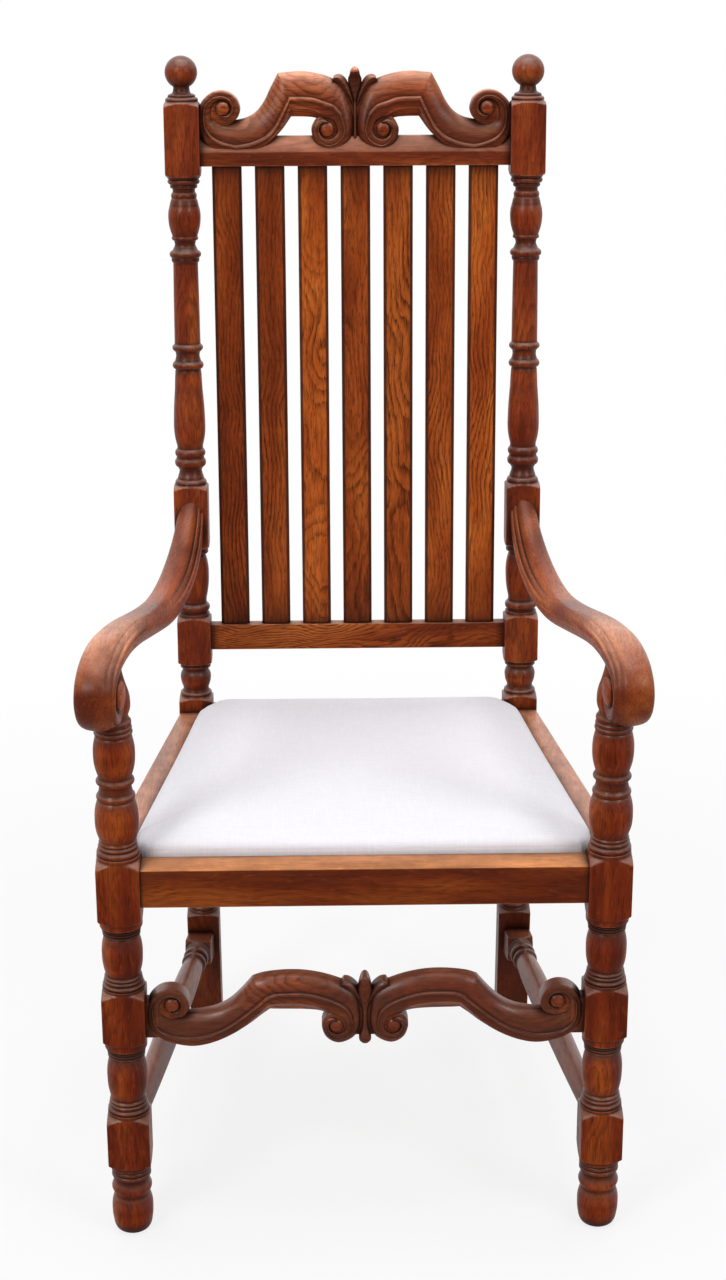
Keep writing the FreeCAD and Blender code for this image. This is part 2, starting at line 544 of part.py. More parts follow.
def build_rear_post():
    """One bent square post from foot to finial: raked above the seat, kicked back below it."""
    post = new_body("rear_post_left", "-post_spread", POST_LINE, "seat_height")
    stock = new_sketch(post, "YZ_Plane", "PostOutline")
    top = FINIAL_CENTRE + " + finial_radius"
    lean_back = "((%s) * sin(back_rake) %s post_stock / 2 * cos(back_rake))"
    lean_up = "((%s) * cos(back_rake) %s post_stock / 2 * sin(back_rake))"
    draw(stock, [
        ("%s - post_stock / 2 / cos(foot_kick)" % KICK_FOOT, "-seat_height"),
        ("%s + post_stock / 2 / cos(foot_kick)" % KICK_FOOT, "-seat_height"),
        (HALF_POST, "-post_block_drop"), (HALF_POST, "0"),
        (lean_back % (top, "+"), lean_up % (top, "-")),
        (lean_back % (top, "-"), lean_up % (top, "+")),
        ("-" + HALF_POST, "0"), ("-" + HALF_POST, "-post_block_drop"),
    ])
    pad(post, stock, "post_stock", "PostStock", middle=True)
    leaned = dict(role="YZ_Plane", turn="back_rake", turn_axis=Vector(0, 0, -1))
    for name, shares, low, high in (
        ("PostSeatTurning", POST_SEAT_SHARES, "post_block_rise", "rail_block_low"),
        ("PostVase", POST_VASE_SHARES, "rail_block_high", "arm_block_low"),
        ("PostBack", POST_BACK_SHARES, "arm_block_high", CREST_BLOCK_LOW),
    ):
        turning(post, name, shares, HALF_POST, low, high, "block_shoulder", "block_shoulder", **leaned)
    turning(post, "PostFinial", FINIAL_SHARES, HALF_POST, CREST_BLOCK_HIGH, top, "block_shoulder",
            "overrun", **leaned)
    turning(post, "PostKick", KICK_SHARES, HALF_POST, "-kick_turning", "0", "block_shoulder",
            "block_shoulder", role="YZ_Plane", turn="foot_kick", down="-post_block_drop")
    inner = "(post_stock / 2 - tenon_length)"
    mortise(post, "SideRailMortise",
            ("post_spread - %s - tenon_thickness" % SIDE_TENON_REAR, "-" + HALF_POST,
             "tenon_shoulder - rail_height"),
            ("tenon_thickness", "tenon_length", RAIL_TENON_HEIGHT), (1, 1))
    mortise(post, "RearRailMortise", (inner, REAR_RAIL_TENON_BACK, "tenon_shoulder - rail_height"),
            ("tenon_length", "tenon_thickness", RAIL_TENON_HEIGHT), (0, -1))
    mortise(post, "LowRailMortise",
            (inner, "-tenon_thickness / 2", "low_rail_base + tenon_shoulder"),
            ("tenon_length", "tenon_thickness", "low_rail_height - 2 * tenon_shoulder"),
            (0, -1), lean=LEANED)
    mortise(post, "CrestMortise", (inner, "-tenon_thickness / 2", "crest_base + tenon_shoulder"),
            ("tenon_length", "tenon_thickness", "bar_back + tenon_shoulder"), (0, -1), lean=LEANED)
    mortise(post, "ArmMortise",
            ("-tenon_thickness / 2", "-" + HALF_POST, "%s - seat_height" % ARM_TENON_BASE),
            ("tenon_thickness", "post_stock / 2 + arm_tenon_reach", "arm_tenon_height"), (1, 1),
            swing=SPLAY)
    hole = new_sketch(post, "XY_Plane", "SideBarHoleProfile", turn=SIDE_BAR_SWING,
                      turn_axis=Vector(0, 0, -1), lift="side_bar_height - seat_height")
    drive(hole, "AttachmentOffset.Base.y", "%s - axis_depth" % SIDE_BAR_REAR)
    radius = "(side_bar_dowel + mortise_clearance / 2)"
    front = "-(post_stock / 2 + 2 * overrun) / cos(%s)" % SIDE_BAR_SWING
    draw(hole, [("0", front), (radius, front), (radius, "0"), ("0", "0")])
    add_feature(post, "Groove", "SideBarHole", Profile=hole, ReferenceAxis=(hole, ["V_Axis"]))
    mirror_image(post, "rear_post_right")


def build_rail(label, section, half_length, back, tenon_back):
    """A straight seat rail with its rebate, its section drawn from the side."""
    rail = new_body(label, "0", back)
    outline = new_sketch(rail, "YZ_Plane", "RailSection")
    draw(outline, section)
    pad(rail, outline, "2 * " + half_length, "RailStock", middle=True)
    for side, start in (("Left", "-%s - tenon_length" % half_length), ("Right", half_length)):
        tenon(rail, "Tenon" + side, (start, tenon_back, RAIL_TENON_BASE),
              ("tenon_length", "tenon_thickness", RAIL_TENON_HEIGHT))
    return rail


def build_seat_rails():
    front_wall = "%s + front_margin" % FRONT_RAIL_FACE
    build_rail("front_seat_rail", [
        (FRONT_RAIL_FACE, RAIL_BASE), (FRONT_RAIL_FACE, "seat_height"),
        (front_wall, "seat_height"), (front_wall, LEDGE),
        (front_wall + " + ledge_width", LEDGE), (front_wall + " + ledge_width", RAIL_BASE),
    ], LEG_INNER, LEG_LINE, FRONT_RAIL_TENON_BACK)
    rear_wall = "%s - rear_margin" % REAR_RAIL_BACK
    build_rail("rear_seat_rail", [
        (REAR_RAIL_BACK, RAIL_BASE), (REAR_RAIL_BACK, "seat_height"),
        (rear_wall, "seat_height"), (rear_wall, LEDGE),
        (rear_wall + " - ledge_width", LEDGE), (rear_wall + " - ledge_width", RAIL_BASE),
    ], POST_INNER, POST_LINE, REAR_RAIL_TENON_BACK)
    side = new_body("side_seat_rail_left")
    for name, width, low, height in (
        ("Lower", SIDE_WIDTH, RAIL_BASE, "rail_height - ledge_depth"),
        ("Upper", "side_margin", LEDGE, "ledge_depth"),
    ):
        plan = new_sketch(side, "XY_Plane", name + "Plan", lift=low)
        draw(plan, [
            ("-" + SIDE_OUTER_FRONT, SIDE_FRONT), ("%s - %s" % (width, SIDE_OUTER_FRONT), SIDE_FRONT),
            ("%s - %s" % (width, SIDE_OUTER_REAR), SIDE_REAR), ("-" + SIDE_OUTER_REAR, SIDE_REAR),
        ])
        pad(side, plan, height, name + "Stock")
    size = ("tenon_thickness", "tenon_length", RAIL_TENON_HEIGHT)
    tenon(side, "TenonFront", ("-%s - tenon_thickness" % SIDE_TENON_FRONT,
                               "%s - tenon_length" % SIDE_FRONT, RAIL_TENON_BASE), size)
    tenon(side, "TenonRear", ("-%s - tenon_thickness" % SIDE_TENON_REAR, SIDE_REAR,
                              RAIL_TENON_BASE), size)
    mirror_image(side, "side_seat_rail_right")


def side_inner(back):
    """The side rail's inner face, out from the middle, at a place behind the leg line."""
    return "(%s - %s - (%s - %s) * %s)" % (SIDE_OUTER_FRONT, SIDE_WIDTH, back, SIDE_FRONT, SIDE_SLOPE)


def build_corner_blocks():
    """Triangular blocks glued in the seat's corners under the ledge."""
    near = "(%s + front_margin + ledge_width)" % FRONT_RAIL_FACE
    far = "(axis_depth + %s - rear_margin - ledge_width)" % REAR_RAIL_BACK
    near_end = "(%s + corner_leg)" % near
    far_end = "(%s - corner_leg)" % far
    plans = {
        "corner_block_front_left": [
            ("-" + side_inner(near), near), ("-%s + corner_leg" % side_inner(near), near),
            ("-" + side_inner(near_end), near_end),
        ],
        "corner_block_rear_left": [
            ("-" + POST_INNER, far), ("-%s + corner_leg" % POST_INNER, far),
            ("-" + side_inner(far_end), far_end), ("-" + side_inner(SIDE_REAR), SIDE_REAR),
            ("-" + POST_INNER, SIDE_REAR),
        ],
    }
    for label, plan in plans.items():
        wedge = new_body(label)
        top = "%s - corner_drop" % LEDGE
        sketch = new_sketch(wedge, "XY_Plane", "BlockPlan", lift=top + " - corner_height")
        draw(sketch, plan)
        pad(wedge, sketch, "corner_height", "BlockStock")
        mirror_image(wedge, label.replace("left", "right"))


def build_crest():
    """A scrolled board over a bevelled bar, tenoned between the posts."""
    crest = new_body("crest_rail", "0", POST_LINE, "seat_height", lean=LEANED)
    board = new_sketch(crest, "XZ_Plane", "CrestOutline")
    draw(board, scaled(both_sides(CREST_SHARES), POST_INNER, "crest_base", "crest_height"))
    pad(crest, board, "crest_board", "CrestBoard", middle=True)
    bar = new_sketch(crest, "YZ_Plane", "BarSection")
    draw(bar, [
        ("-crest_bar / 2", "crest_base"), ("crest_bar / 2", "crest_base"),
        ("crest_bar / 2", "crest_base + bar_back"),
        ("bar_bevel - crest_bar / 2", "crest_base + bar_back"),
        ("-crest_bar / 2", "crest_base + bar_front"),
    ])
    pad(crest, bar, "2 * " + POST_INNER, "CrestBar", middle=True)
    for name, way in (("Left", -1), ("Right", 1)):
        gap = new_sketch(crest, "XZ_Plane", "Gap%sOutline" % name)
        shares = [(way * along, up) for along, up in CREST_GAP_SHARES]
        draw(gap, scaled(shares, POST_INNER, "crest_base", "crest_height"))
        pocket(crest, gap, "crest_bar + 2 * overrun", "Gap" + name, middle=True)
        for number, (along, up) in enumerate(CREST_EYE_SHARES, start=1):
            eye = new_sketch(crest, "XZ_Plane", "Eye%s%dOutline" % (name, number))
            drive(eye, "AttachmentOffset.Base.x", "%s * %s" % (POST_INNER, way * along))
            drive(eye, "AttachmentOffset.Base.y", "crest_base + crest_height * %s" % up)
            ring(eye, "eye_radius")
            pad(crest, eye, "crest_board / 2 + eye_proud", "Eye%s%d" % (name, number))
    for name, start in (("Left", "-%s - tenon_length" % POST_INNER), ("Right", POST_INNER)):
        tenon(crest, "Tenon" + name, (start, "-tenon_thickness / 2", "crest_base + tenon_shoulder"),
              ("tenon_length", "tenon_thickness", "bar_back + tenon_shoulder"))
    slat_mortises(crest, "crest_base", 1)


def slat_places():
    """Each slat's number, with its place from the middle one in pitches."""
    return list(enumerate(range(-(SLAT_COUNT // 2), SLAT_COUNT // 2 + 1), start=1))


def slat_mortises(body, level, way):
    """A hole for each slat's tenon, up into the crest or down into the lower rail."""
    base = level if way > 0 else "%s - slat_tenon" % level
    for number, place in slat_places():
        mortise(body, "SlatMortise%d" % number,
                ("slat_pitch * %d - slat_width / 2 + slat_chamfer" % place,
                 "-slat_tenon_thickness / 2", base), SLAT_TENON, (2, way))


def build_back():
    """The lower rail and the slats between it and the crest, all in the leaned plane."""
    rail = new_body("lower_back_rail", "0", POST_LINE, "seat_height", lean=LEANED)
    section = new_sketch(rail, "YZ_Plane", "RailSection")
    half = "low_rail_thickness / 2"
    top = "(low_rail_base + low_rail_height)"
    draw(section, [("-" + half, "low_rail_base"), (half, "low_rail_base"), (half, top), ("-" + half, top)])
    pad(rail, section, "2 * " + POST_INNER, "RailStock", middle=True)
    for name, start in (("Left", "-%s - tenon_length" % POST_INNER), ("Right", POST_INNER)):
        tenon(rail, "Tenon" + name, (start, "-tenon_thickness / 2", "low_rail_base + tenon_shoulder"),
              ("tenon_length", "tenon_thickness", "low_rail_height - 2 * tenon_shoulder"))
    slat_mortises(rail, top, -1)
    for number, place in slat_places():
        slat = new_body("back_slat_%d" % number, "slat_pitch * %d" % place, POST_LINE,
                        "seat_height", lean=LEANED)
        edge = "slat_width / 2"
        face = "slat_thickness / 2"
        plan = new_sketch(slat, "XY_Plane", "SlatSection", lift=top)
        draw(plan, [
            ("-" + edge, face), ("-" + edge, "slat_chamfer - " + face),
            ("slat_chamfer - " + edge, "-" + face), (edge + " - slat_chamfer", "-" + face),
            (edge, "slat_chamfer - " + face), (edge, face),
        ])
        pad(slat, plan, "crest_base - " + top, "SlatStock")
        for name, base in (("Low", top + " - slat_tenon"), ("High", "crest_base")):
            tenon(slat, "Tenon" + name,
                  ("slat_chamfer - " + edge, "-slat_tenon_thickness / 2", base), SLAT_TENON)


def build_stretchers():
    """The carved front stretcher, and the turned ones at the sides."""
    front = new_body("front_stretcher")
    outline = new_sketch(front, "XZ_Plane", "StretcherOutline")
    draw(outline, scaled(both_sides(STRETCHER_SHARES), LEG_INNER, "stretcher_base", "stretcher_height"))
    pad(front, outline, "stretcher_board", "StretcherBoard", middle=True)
    for name, way in (("Left", -1), ("Right", 1)):
        for number, (along, up) in enumerate(SCROLL_EYE_SHARES, start=1):
            eye = new_sketch(front, "XZ_Plane", "Eye%s%dOutline" % (name, number))
            drive(eye, "AttachmentOffset.Base.x", "%s * %s" % (LEG_INNER, way * along))
            drive(eye, "AttachmentOffset.Base.y", "stretcher_base + stretcher_height * %s" % up)
            ring(eye, "scroll_eye_radius")
            pad(front, eye, "stretcher_board / 2 + eye_proud", "Eye%s%d" % (name, number))
        start = LEG_INNER if way > 0 else "-%s - tenon_length" % LEG_INNER
        tenon(front, "Tenon" + name, (start, "-tenon_thickness / 2", "stretcher_tenon_base"),
              ("tenon_length", "tenon_thickness", "stretcher_tenon_height"))
    bar = new_body("side_stretcher_left", "-leg_spread", up="side_bar_height")
    swung = dict(turn=SIDE_BAR_SWING, turn_axis=Vector(0, 0, -1))
    half = "side_bar_block / 2"
    square = "(%s / cos(%s) - side_bar_square)" % (SIDE_BAR_FACE, SIDE_BAR_SWING)
    profile = new_sketch(bar, "XY_Plane", "BarProfile", **swung)
    corners = [("0", "mortise_spare"), ("side_bar_pin", "mortise_spare"), ("side_bar_pin", SIDE_FRONT)]
    for entry in SIDE_BAR_SHARES:
        corner = []
        for n in range(0, len(entry), 2):
            corner.append("%s * %s" % (half, entry[n + 1]))
            corner.append("%s * %s" % (square, entry[n]))
        corners.append(tuple(corner))
    corners.append(("0", square))
    draw(profile, corners)
    add_feature(bar, "Revolution", "BarTurning", Profile=profile, ReferenceAxis=(profile, ["V_Axis"]))
    end = new_sketch(bar, "XY_Plane", "SquareOutline", **swung)
    draw(end, [("-" + half, square), (half, square), (half, SIDE_BAR_RUN), ("-" + half, SIDE_BAR_RUN)])
    pad(bar, end, "side_bar_block", "BarSquare", middle=True)
    trim = new_sketch(bar, "YZ_Plane", "TrimOutline")
    at_top = "%s - side_bar_block * tan(foot_kick)" % SIDE_BAR_FACE
    at_base = "%s + side_bar_block * tan(foot_kick)" % SIDE_BAR_FACE
    behind = "%s + side_bar_block" % SIDE_BAR_REAR
    draw(trim, [(at_base, "-side_bar_block"), (behind, "-side_bar_block"),
                (behind, "side_bar_block"), (at_top, "side_bar_block")])
    pocket(bar, trim, ALL_WIDE, "BarTrim", middle=True)
    peg = new_sketch(bar, "XY_Plane", "PegProfile", **swung)
    tip = "(%s - mortise_spare)" % SIDE_BAR_RUN
    draw(peg, [("0", square), ("side_bar_dowel", square), ("side_bar_dowel", tip), ("0", tip)])
    add_feature(bar, "Revolution", "BarPeg", Profile=peg, ReferenceAxis=(peg, ["V_Axis"]))
    mirror_image(bar, "side_stretcher_right")


def build_arm():
    """One board sawn to its side outline and set splayed from the post to the leg."""
    arm = new_body("arm_left", "-leg_spread - arm_offset", swing=SPLAY)
    outline = new_sketch(arm, "YZ_Plane", "ArmOutline")
    corners = scaled(ARM_OVER_SHARES, ARM_RUN, "arm_bottom", "arm_rise")
    corners += [("%s * %s" % (ARM_RUN, along), "arm_seat") for along in ARM_SEAT_SHARES]
    corners += scaled(ARM_UNDER_SHARES, ARM_RUN, "arm_bottom", "arm_rise")
    draw(outline, corners)
    pad(arm, outline, "arm_width", "ArmBoard", middle=True)
    roundel = new_sketch(arm, "YZ_Plane", "RoundelOutline")
    drive(roundel, "AttachmentOffset.Base.x", "%s * %s" % (ARM_RUN, ROUNDEL_SHARES[0]))
    drive(roundel, "AttachmentOffset.Base.y", "arm_bottom + arm_rise * %s" % ROUNDEL_SHARES[1])
    ring(roundel, "roundel_radius")
    pad(arm, roundel, "arm_width + 2 * roundel_proud", "ArmRoundel", middle=True)
    # The rear end is cut flush to the post's leaned front face, square to the chair.
    end = new_sketch(arm, "YZ_Plane", "EndOutline", turn=SPLAY, turn_axis=Vector(0, 1, 0))
    face = "axis_depth - post_stock / 2 / cos(back_rake) + (%s - seat_height) * tan(back_rake)"
    low = "arm_bottom"
    high = "(arm_bottom + 2 * arm_rise)"
    behind = "%s + arm_rise" % ARM_RUN
    draw(end, [(face % low, low), (behind, low), (behind, high), (face % high, high)])
    pocket(arm, end, ALL_WIDE, "ArmEnd", middle=True)
    tenon(arm, "ArmTenon", ("-tenon_thickness / 2", "%s - tenon_length / 2" % ARM_RUN, ARM_TENON_BASE),
          ("tenon_thickness", "tenon_length / 2 + arm_tenon_reach", "arm_tenon_height"))
    for name, radius, depth, rising in (
        ("LegHole", "dowel_radius + mortise_clearance / 2", "dowel_length + mortise_spare", True),
        ("LegScribe", "scribe_radius", "arm_seat - arm_bottom + overrun", False),
    ):
        circle = new_sketch(arm, "XY_Plane", name + "Section", lift="arm_seat")
        drive(circle, "AttachmentOffset.Base.x", "arm_offset * cos(%s)" % SPLAY)
        drive(circle, "AttachmentOffset.Base.y", "arm_offset * sin(%s)" % SPLAY)
        ring(circle, radius)
        pocket(arm, circle, depth, name, back=rising)
    mirror_image(arm, "arm_right")


def seat_plan(sketch, inset):
    """The seat's outline, drawn in all round by the inset."""
    draw(sketch, scaled(both_sides(SEAT_SHARES), "(%s - %s)" % (SEAT_HALF, inset),
                        "%s + %s" % (SEAT_FRONT, inset),
                        "(%s - %s - 2 * %s)" % (SEAT_REAR, SEAT_FRONT, inset)))


def crown(body, kind, name, shares, base, top, inset):
    """A domed pad lofted through rings that draw in as they rise."""
    rings = []
    for number, (rise, drawn_in) in enumerate(shares):
        level = new_sketch(body, "XY_Plane", "%sRing%d" % (name, number))
        drive(level, "AttachmentOffset.Base.z", "%s + (%s - %s) * %s" % (base, top, base, rise))
        seat_plan(level, "(%s + %s * %s)" % (inset, SEAT_HALF, drawn_in))
        rings.append(level)
    return add_feature(body, kind, name, Profile=rings[0], Sections=rings[1:], Ruled=True)


def build_seat_frame():
    """Four flat beech rails, the side ones tenoned into the front and the back."""
    front_end = "(%s + %s + frame_width)" % (SEAT_FRONT, FRAME_INSET)
    rear_end = "(%s - %s - frame_width)" % (SEAT_REAR, FRAME_INSET)
    wide = "2 * " + SEAT_HALF
    peg = ("frame_tenon_width", "frame_tenon", "frame_tenon_height")
    peg_base = "%s + (frame_thickness - frame_tenon_height) / 2" % FRAME_BASE
    pegs = {}
    for name, start in (("front", "%s - frame_tenon" % front_end), ("back", rear_end)):
        end = front_end if name == "front" else rear_end
        middle = "(%s - frame_width / 2)" % frame_edge(end)
        pegs[name] = (middle, start)
    for name, keep_low, keep_high in (("front", SEAT_FRONT, front_end), ("back", rear_end, SEAT_REAR)):
        rail = new_body("seat_frame_" + name)
        plan = new_sketch(rail, "XY_Plane", "RailPlan", lift=FRAME_BASE)
        seat_plan(plan, FRAME_INSET)
        pad(rail, plan, "frame_thickness", "RailStock")
        waste = new_sketch(rail, "XY_Plane", "WastePlan", lift=FRAME_TOP)
        low, high = (keep_high, "%s + frame_width" % SEAT_REAR)
        if name == "back":
            low, high = ("%s - frame_width" % SEAT_FRONT, keep_low)
        draw(waste, [("-%s" % wide, low), (wide, low), (wide, high), ("-%s" % wide, high)])
        pocket(rail, waste, "frame_thickness + overrun", "RailWaste")
        middle, start = pegs[name]
        for side, across in (("Left", "-%s - frame_tenon_width / 2" % middle),
                             ("Right", "%s - frame_tenon_width / 2" % middle)):
            mortise(rail, "Mortise" + side, (across, start, peg_base), peg,
                    (1, -1 if name == "front" else 1))
    side = new_body("seat_frame_left")
    plan = new_sketch(side, "XY_Plane", "RailPlan", lift=FRAME_BASE)
    draw(plan, [
        ("-" + frame_edge(front_end), front_end), ("frame_width - " + frame_edge(front_end), front_end),
        ("frame_width - " + frame_edge(rear_end), rear_end), ("-" + frame_edge(rear_end), rear_end),
    ])
    pad(side, plan, "frame_thickness", "RailStock")
    for name, (middle, start) in pegs.items():
        tenon(side, "Tenon" + name, ("-%s - frame_tenon_width / 2" % middle, start, peg_base), peg)
    mirror_image(side, "seat_frame_right")


def frame_edge(back):
    """The seat frame's side edge, out from the middle, at a place behind the leg line."""
    wide, near, narrow, far = SEAT_SIDE_SHARES
    depth = "(%s - %s - 2 * %s)" % (SEAT_REAR, SEAT_FRONT, FRAME_INSET)
    share = "((%s - %s - %s) / %s - %s)" % (back, SEAT_FRONT, FRAME_INSET, depth, near)
    slope = "(%s - %s) / (%s - %s)" % (wide, narrow, far, near)
    return "((%s - %s) * (%s - %s * %s))" % (SEAT_HALF, FRAME_INSET, wide, slope, share)


def build_seat():
    """The drop-in seat: frame, webbing, stuffing and a linen cover turned under."""
    build_seat_frame()
    webbing = new_body("seat_webbing")
    middle = "((%s + %s) / 2)" % (SEAT_FRONT, SEAT_REAR)
    for number, place in enumerate((-1, 0, 1), start=1):
        back = "(%s + web_pitch * %d)" % (middle, place)
        reach = "(%s - web_lap)" % frame_edge(back)
        tenon(webbing, "AcrossStrip%d" % number, ("-" + reach, "%s - web_width / 2" % back, FRAME_TOP),
              ("2 * " + reach, "web_width", "web_thickness"))
        tenon(webbing, "LengthStrip%d" % number,
              ("web_pitch * %d - web_width / 2" % place, "%s + web_lap" % SEAT_FRONT, FRAME_TOP),
              ("web_width", "%s - %s - 2 * web_lap" % (SEAT_REAR, SEAT_FRONT), "web_thickness"))
    stuffing = new_body("seat_stuffing")
    top = "(seat_height + crown_height)"
    crown(stuffing, "AdditiveLoft", "Stuffing", STUFFING_SHARES,
          "(%s + web_thickness + soft_gap)" % FRAME_TOP, "(%s - cloth - soft_gap)" % top, "0")
    cover = new_body("seat_cover")
    plan = new_sketch(cover, "XY_Plane", "SidePlan", lift=COVER_BASE)
    seat_plan(plan, "0")
    pad(cover, plan, COVER_SIDE, "CoverSides")
    crown(cover, "AdditiveLoft", "CoverCrown", CROWN_SHARES, RIM, top, "0")
    room = new_sketch(cover, "XY_Plane", "RoomPlan", lift=RIM)
    seat_plan(room, "cloth")
    pocket(cover, room, COVER_SIDE + " - cloth", "CoverRoom")
    crown(cover, "SubtractiveLoft", "CoverHollow", CROWN_SHARES, RIM, "(%s - cloth)" % top, "cloth")
    below = new_sketch(cover, "XY_Plane", "BelowPlan", lift=COVER_BASE)
    seat_plan(below, "turn_in")
    pocket(cover, below, "2 * cloth", "CoverBelow", back=True)


def broken(thing):
    return "Invalid" in thing.State or "Error" in thing.State


def check_model():
    """Stops on any failed object, and on a feature that changed nothing."""
    for thing in doc.Objects:
        if broken(thing):
            raise RuntimeError("failed: %s in %s" % (thing.Name, thing.State))
    for piece in SUBPARTS:
        shape = piece.Shape
        if shape.isNull() or not shape.isValid() or len(shape.Solids) != 1:
            raise RuntimeError("bad shape: %s" % piece.Label)
        before = 0.0
        for item in getattr(piece, "Group", []):
            if not hasattr(item, "AddSubShape"):
                continue
            after = item.Shape.Volume
            grew = item.TypeId.split("::")[1] in GROWING
            if abs(after - before) < LEAST_CHANGE or grew != (after > before):
                raise RuntimeError("%s changed nothing in %s" % (item.Name, piece.Label))
            before = after


GROWING = ("Pad", "Revolution", "AdditiveLoft", "AdditiveBox")
LEAST_CHANGE = 0.01

build_front_leg()
build_rear_post()
build_seat_rails()
build_corner_blocks()
build_crest()
build_back()
build_stretchers()
build_arm()
build_seat()
doc.recompute()
check_model()
os.makedirs("parts", exist_ok=True)
for piece in SUBPARTS:
    piece.Shape.exportStep("parts/%s.step" % piece.Label)
    box = piece.Shape.BoundBox
    print("%-26s %9.0f  x %7.1f %7.1f  y %7.1f %7.1f  z %7.1f %7.1f" % (
        piece.Label, piece.Shape.Volume, box.XMin, box.XMax, box.YMin, box.YMax, box.ZMin, box.ZMax))
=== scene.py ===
import math

import bmesh
import bpy
import numpy as np
from mathutils import Matrix, Vector
from mathutils.bvhtree import BVHTree


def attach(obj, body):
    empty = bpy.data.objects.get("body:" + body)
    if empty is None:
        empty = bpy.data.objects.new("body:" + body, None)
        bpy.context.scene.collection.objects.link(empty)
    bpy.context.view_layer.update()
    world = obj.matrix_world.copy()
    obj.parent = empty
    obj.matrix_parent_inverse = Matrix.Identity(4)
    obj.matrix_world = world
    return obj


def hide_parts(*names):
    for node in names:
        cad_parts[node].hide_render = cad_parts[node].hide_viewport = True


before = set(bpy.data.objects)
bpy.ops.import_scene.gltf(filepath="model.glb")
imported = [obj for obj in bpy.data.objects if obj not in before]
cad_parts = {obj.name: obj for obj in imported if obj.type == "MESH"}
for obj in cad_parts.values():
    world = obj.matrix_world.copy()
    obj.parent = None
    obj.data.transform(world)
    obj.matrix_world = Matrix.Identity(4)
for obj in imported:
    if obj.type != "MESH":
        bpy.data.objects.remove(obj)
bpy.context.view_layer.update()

MM = 0.001

# The chair stands on a pale studio floor and is seen from in front and above, through a long
# lens. The chair's own lines give the view: its height, its distance and its slight turn.
LEG_LINE = -222.27
PITCH, YAW, ROLL = math.radians(20.32), math.radians(1.11), math.radians(-0.13)
FRAME_WIDE, FRAME_HIGH = 726, 1280
LENS_PIXELS = 2419.1
LENS_AXIS_COLUMN = 371.1
CAMERA_PLACE = (-37.1, -2304.3 + LEG_LINE, 1546.1)
ahead = Vector((math.sin(YAW) * math.cos(PITCH), math.cos(YAW) * math.cos(PITCH), -math.sin(PITCH)))
level = ahead.cross(Vector((0, 0, 1))).normalized()
upward = level.cross(ahead)
right = math.cos(ROLL) * level + math.sin(ROLL) * upward
top = math.cos(ROLL) * upward - math.sin(ROLL) * level


def stood(name, data):
    """A new object of this name, linked into the scene."""
    made = bpy.data.objects.new(name, data)
    bpy.context.scene.collection.objects.link(made)
    return made


camera_data = bpy.data.cameras.new("Camera")
camera_data.sensor_fit = "VERTICAL"
camera_data.sensor_height = 36
camera_data.lens = camera_data.sensor_height * LENS_PIXELS / FRAME_HIGH
camera_data.shift_x = (FRAME_WIDE / 2 - LENS_AXIS_COLUMN) / FRAME_HIGH
camera_data.clip_end = 40
camera = stood("Camera", camera_data)
stand = Vector(CAMERA_PLACE) * MM
camera.matrix_world = Matrix.Translation(stand) @ Matrix((right, top, -ahead)).transposed().to_4x4()
bpy.context.scene.camera = camera
bpy.context.scene.view_settings.view_transform = "Standard"


def feed(tree, socket, given):
    """A plain value, or another node's output, into a socket."""
    if isinstance(given, bpy.types.NodeSocket):
        tree.links.new(given, socket)
    else:
        socket.default_value = given


def add(tree, kind, settings=None, **inputs):
    """One node, its settings and its inputs: a value, or another node's output."""
    made = tree.nodes.new(kind)
    for name, setting in (settings or {}).items():
        setattr(made, name, setting)
    for name, given in inputs.items():
        feed(tree, made.inputs[int(name[1:]) if name[1:].isdigit() else name.replace("_", " ")], given)
    return made


def ramp(tree, factor, stops):
    """A colour ramp with its stops as (place, colour)."""
    made = add(tree, "ShaderNodeValToRGB", Fac=factor)
    while len(made.color_ramp.elements) < len(stops):
        made.color_ramp.elements.new(0.5)
    for element, (place, colour) in zip(made.color_ramp.elements, stops):
        element.position = place
        element.color = (*colour, 1) if len(colour) == 3 else colour
    return made.outputs[0]


def blended(tree, factor, first, second):
    """Two colours mixed by a factor."""
    return add(tree, "ShaderNodeMix", {"data_type": "RGBA"}, _0=factor, _6=first, _7=second).outputs[2]


def reckon(tree, way, *values):
    """A Math node on numbers or outputs."""
    made = add(tree, "ShaderNodeMath", {"operation": way})
    for socket, given in zip(made.inputs, values):
        feed(tree, socket, given)
    return made.outputs[0]


# The floor is pale and keeps the chair's shadow; away from the chair it fades to plain white.
floor_material = bpy.data.materials.new("StudioFloor")
floor_material.use_nodes = True
tree = floor_material.node_tree
tree.nodes.clear()
paint = add(tree, "ShaderNodeBsdfDiffuse", Color=(0.80, 0.80, 0.80, 1))
glow = add(tree, "ShaderNodeEmission", Color=(1, 1, 1, 1), Strength=1.0)
spot = add(tree, "ShaderNodeVectorMath", {"operation": "LENGTH"},
           _0=add(tree, "ShaderNodeTexCoord").outputs["Object"])
faded = add(tree, "ShaderNodeMapRange", {"interpolation_type": "SMOOTHSTEP"}, Value=spot.outputs["Value"],
            _1=0.6, _2=1.7, _3=0.80, _4=1.0)
seen = add(tree, "ShaderNodeLightPath")
catch = reckon(tree, "MAXIMUM", seen.outputs["Is Camera Ray"],
               reckon(tree, "MAXIMUM", seen.outputs["Is Glossy Ray"], seen.outputs["Is Transmission Ray"]))
share = reckon(tree, "MULTIPLY", catch, faded.outputs[0])
mixed = add(tree, "ShaderNodeMixShader", _0=share, _1=paint.outputs[0], _2=glow.outputs[0])
add(tree, "ShaderNodeOutputMaterial", Surface=mixed.outputs[0])
bpy.ops.mesh.primitive_plane_add(size=14)
floor = bpy.context.object
floor.name = "studio_floor"
floor.data.materials.append(floor_material)

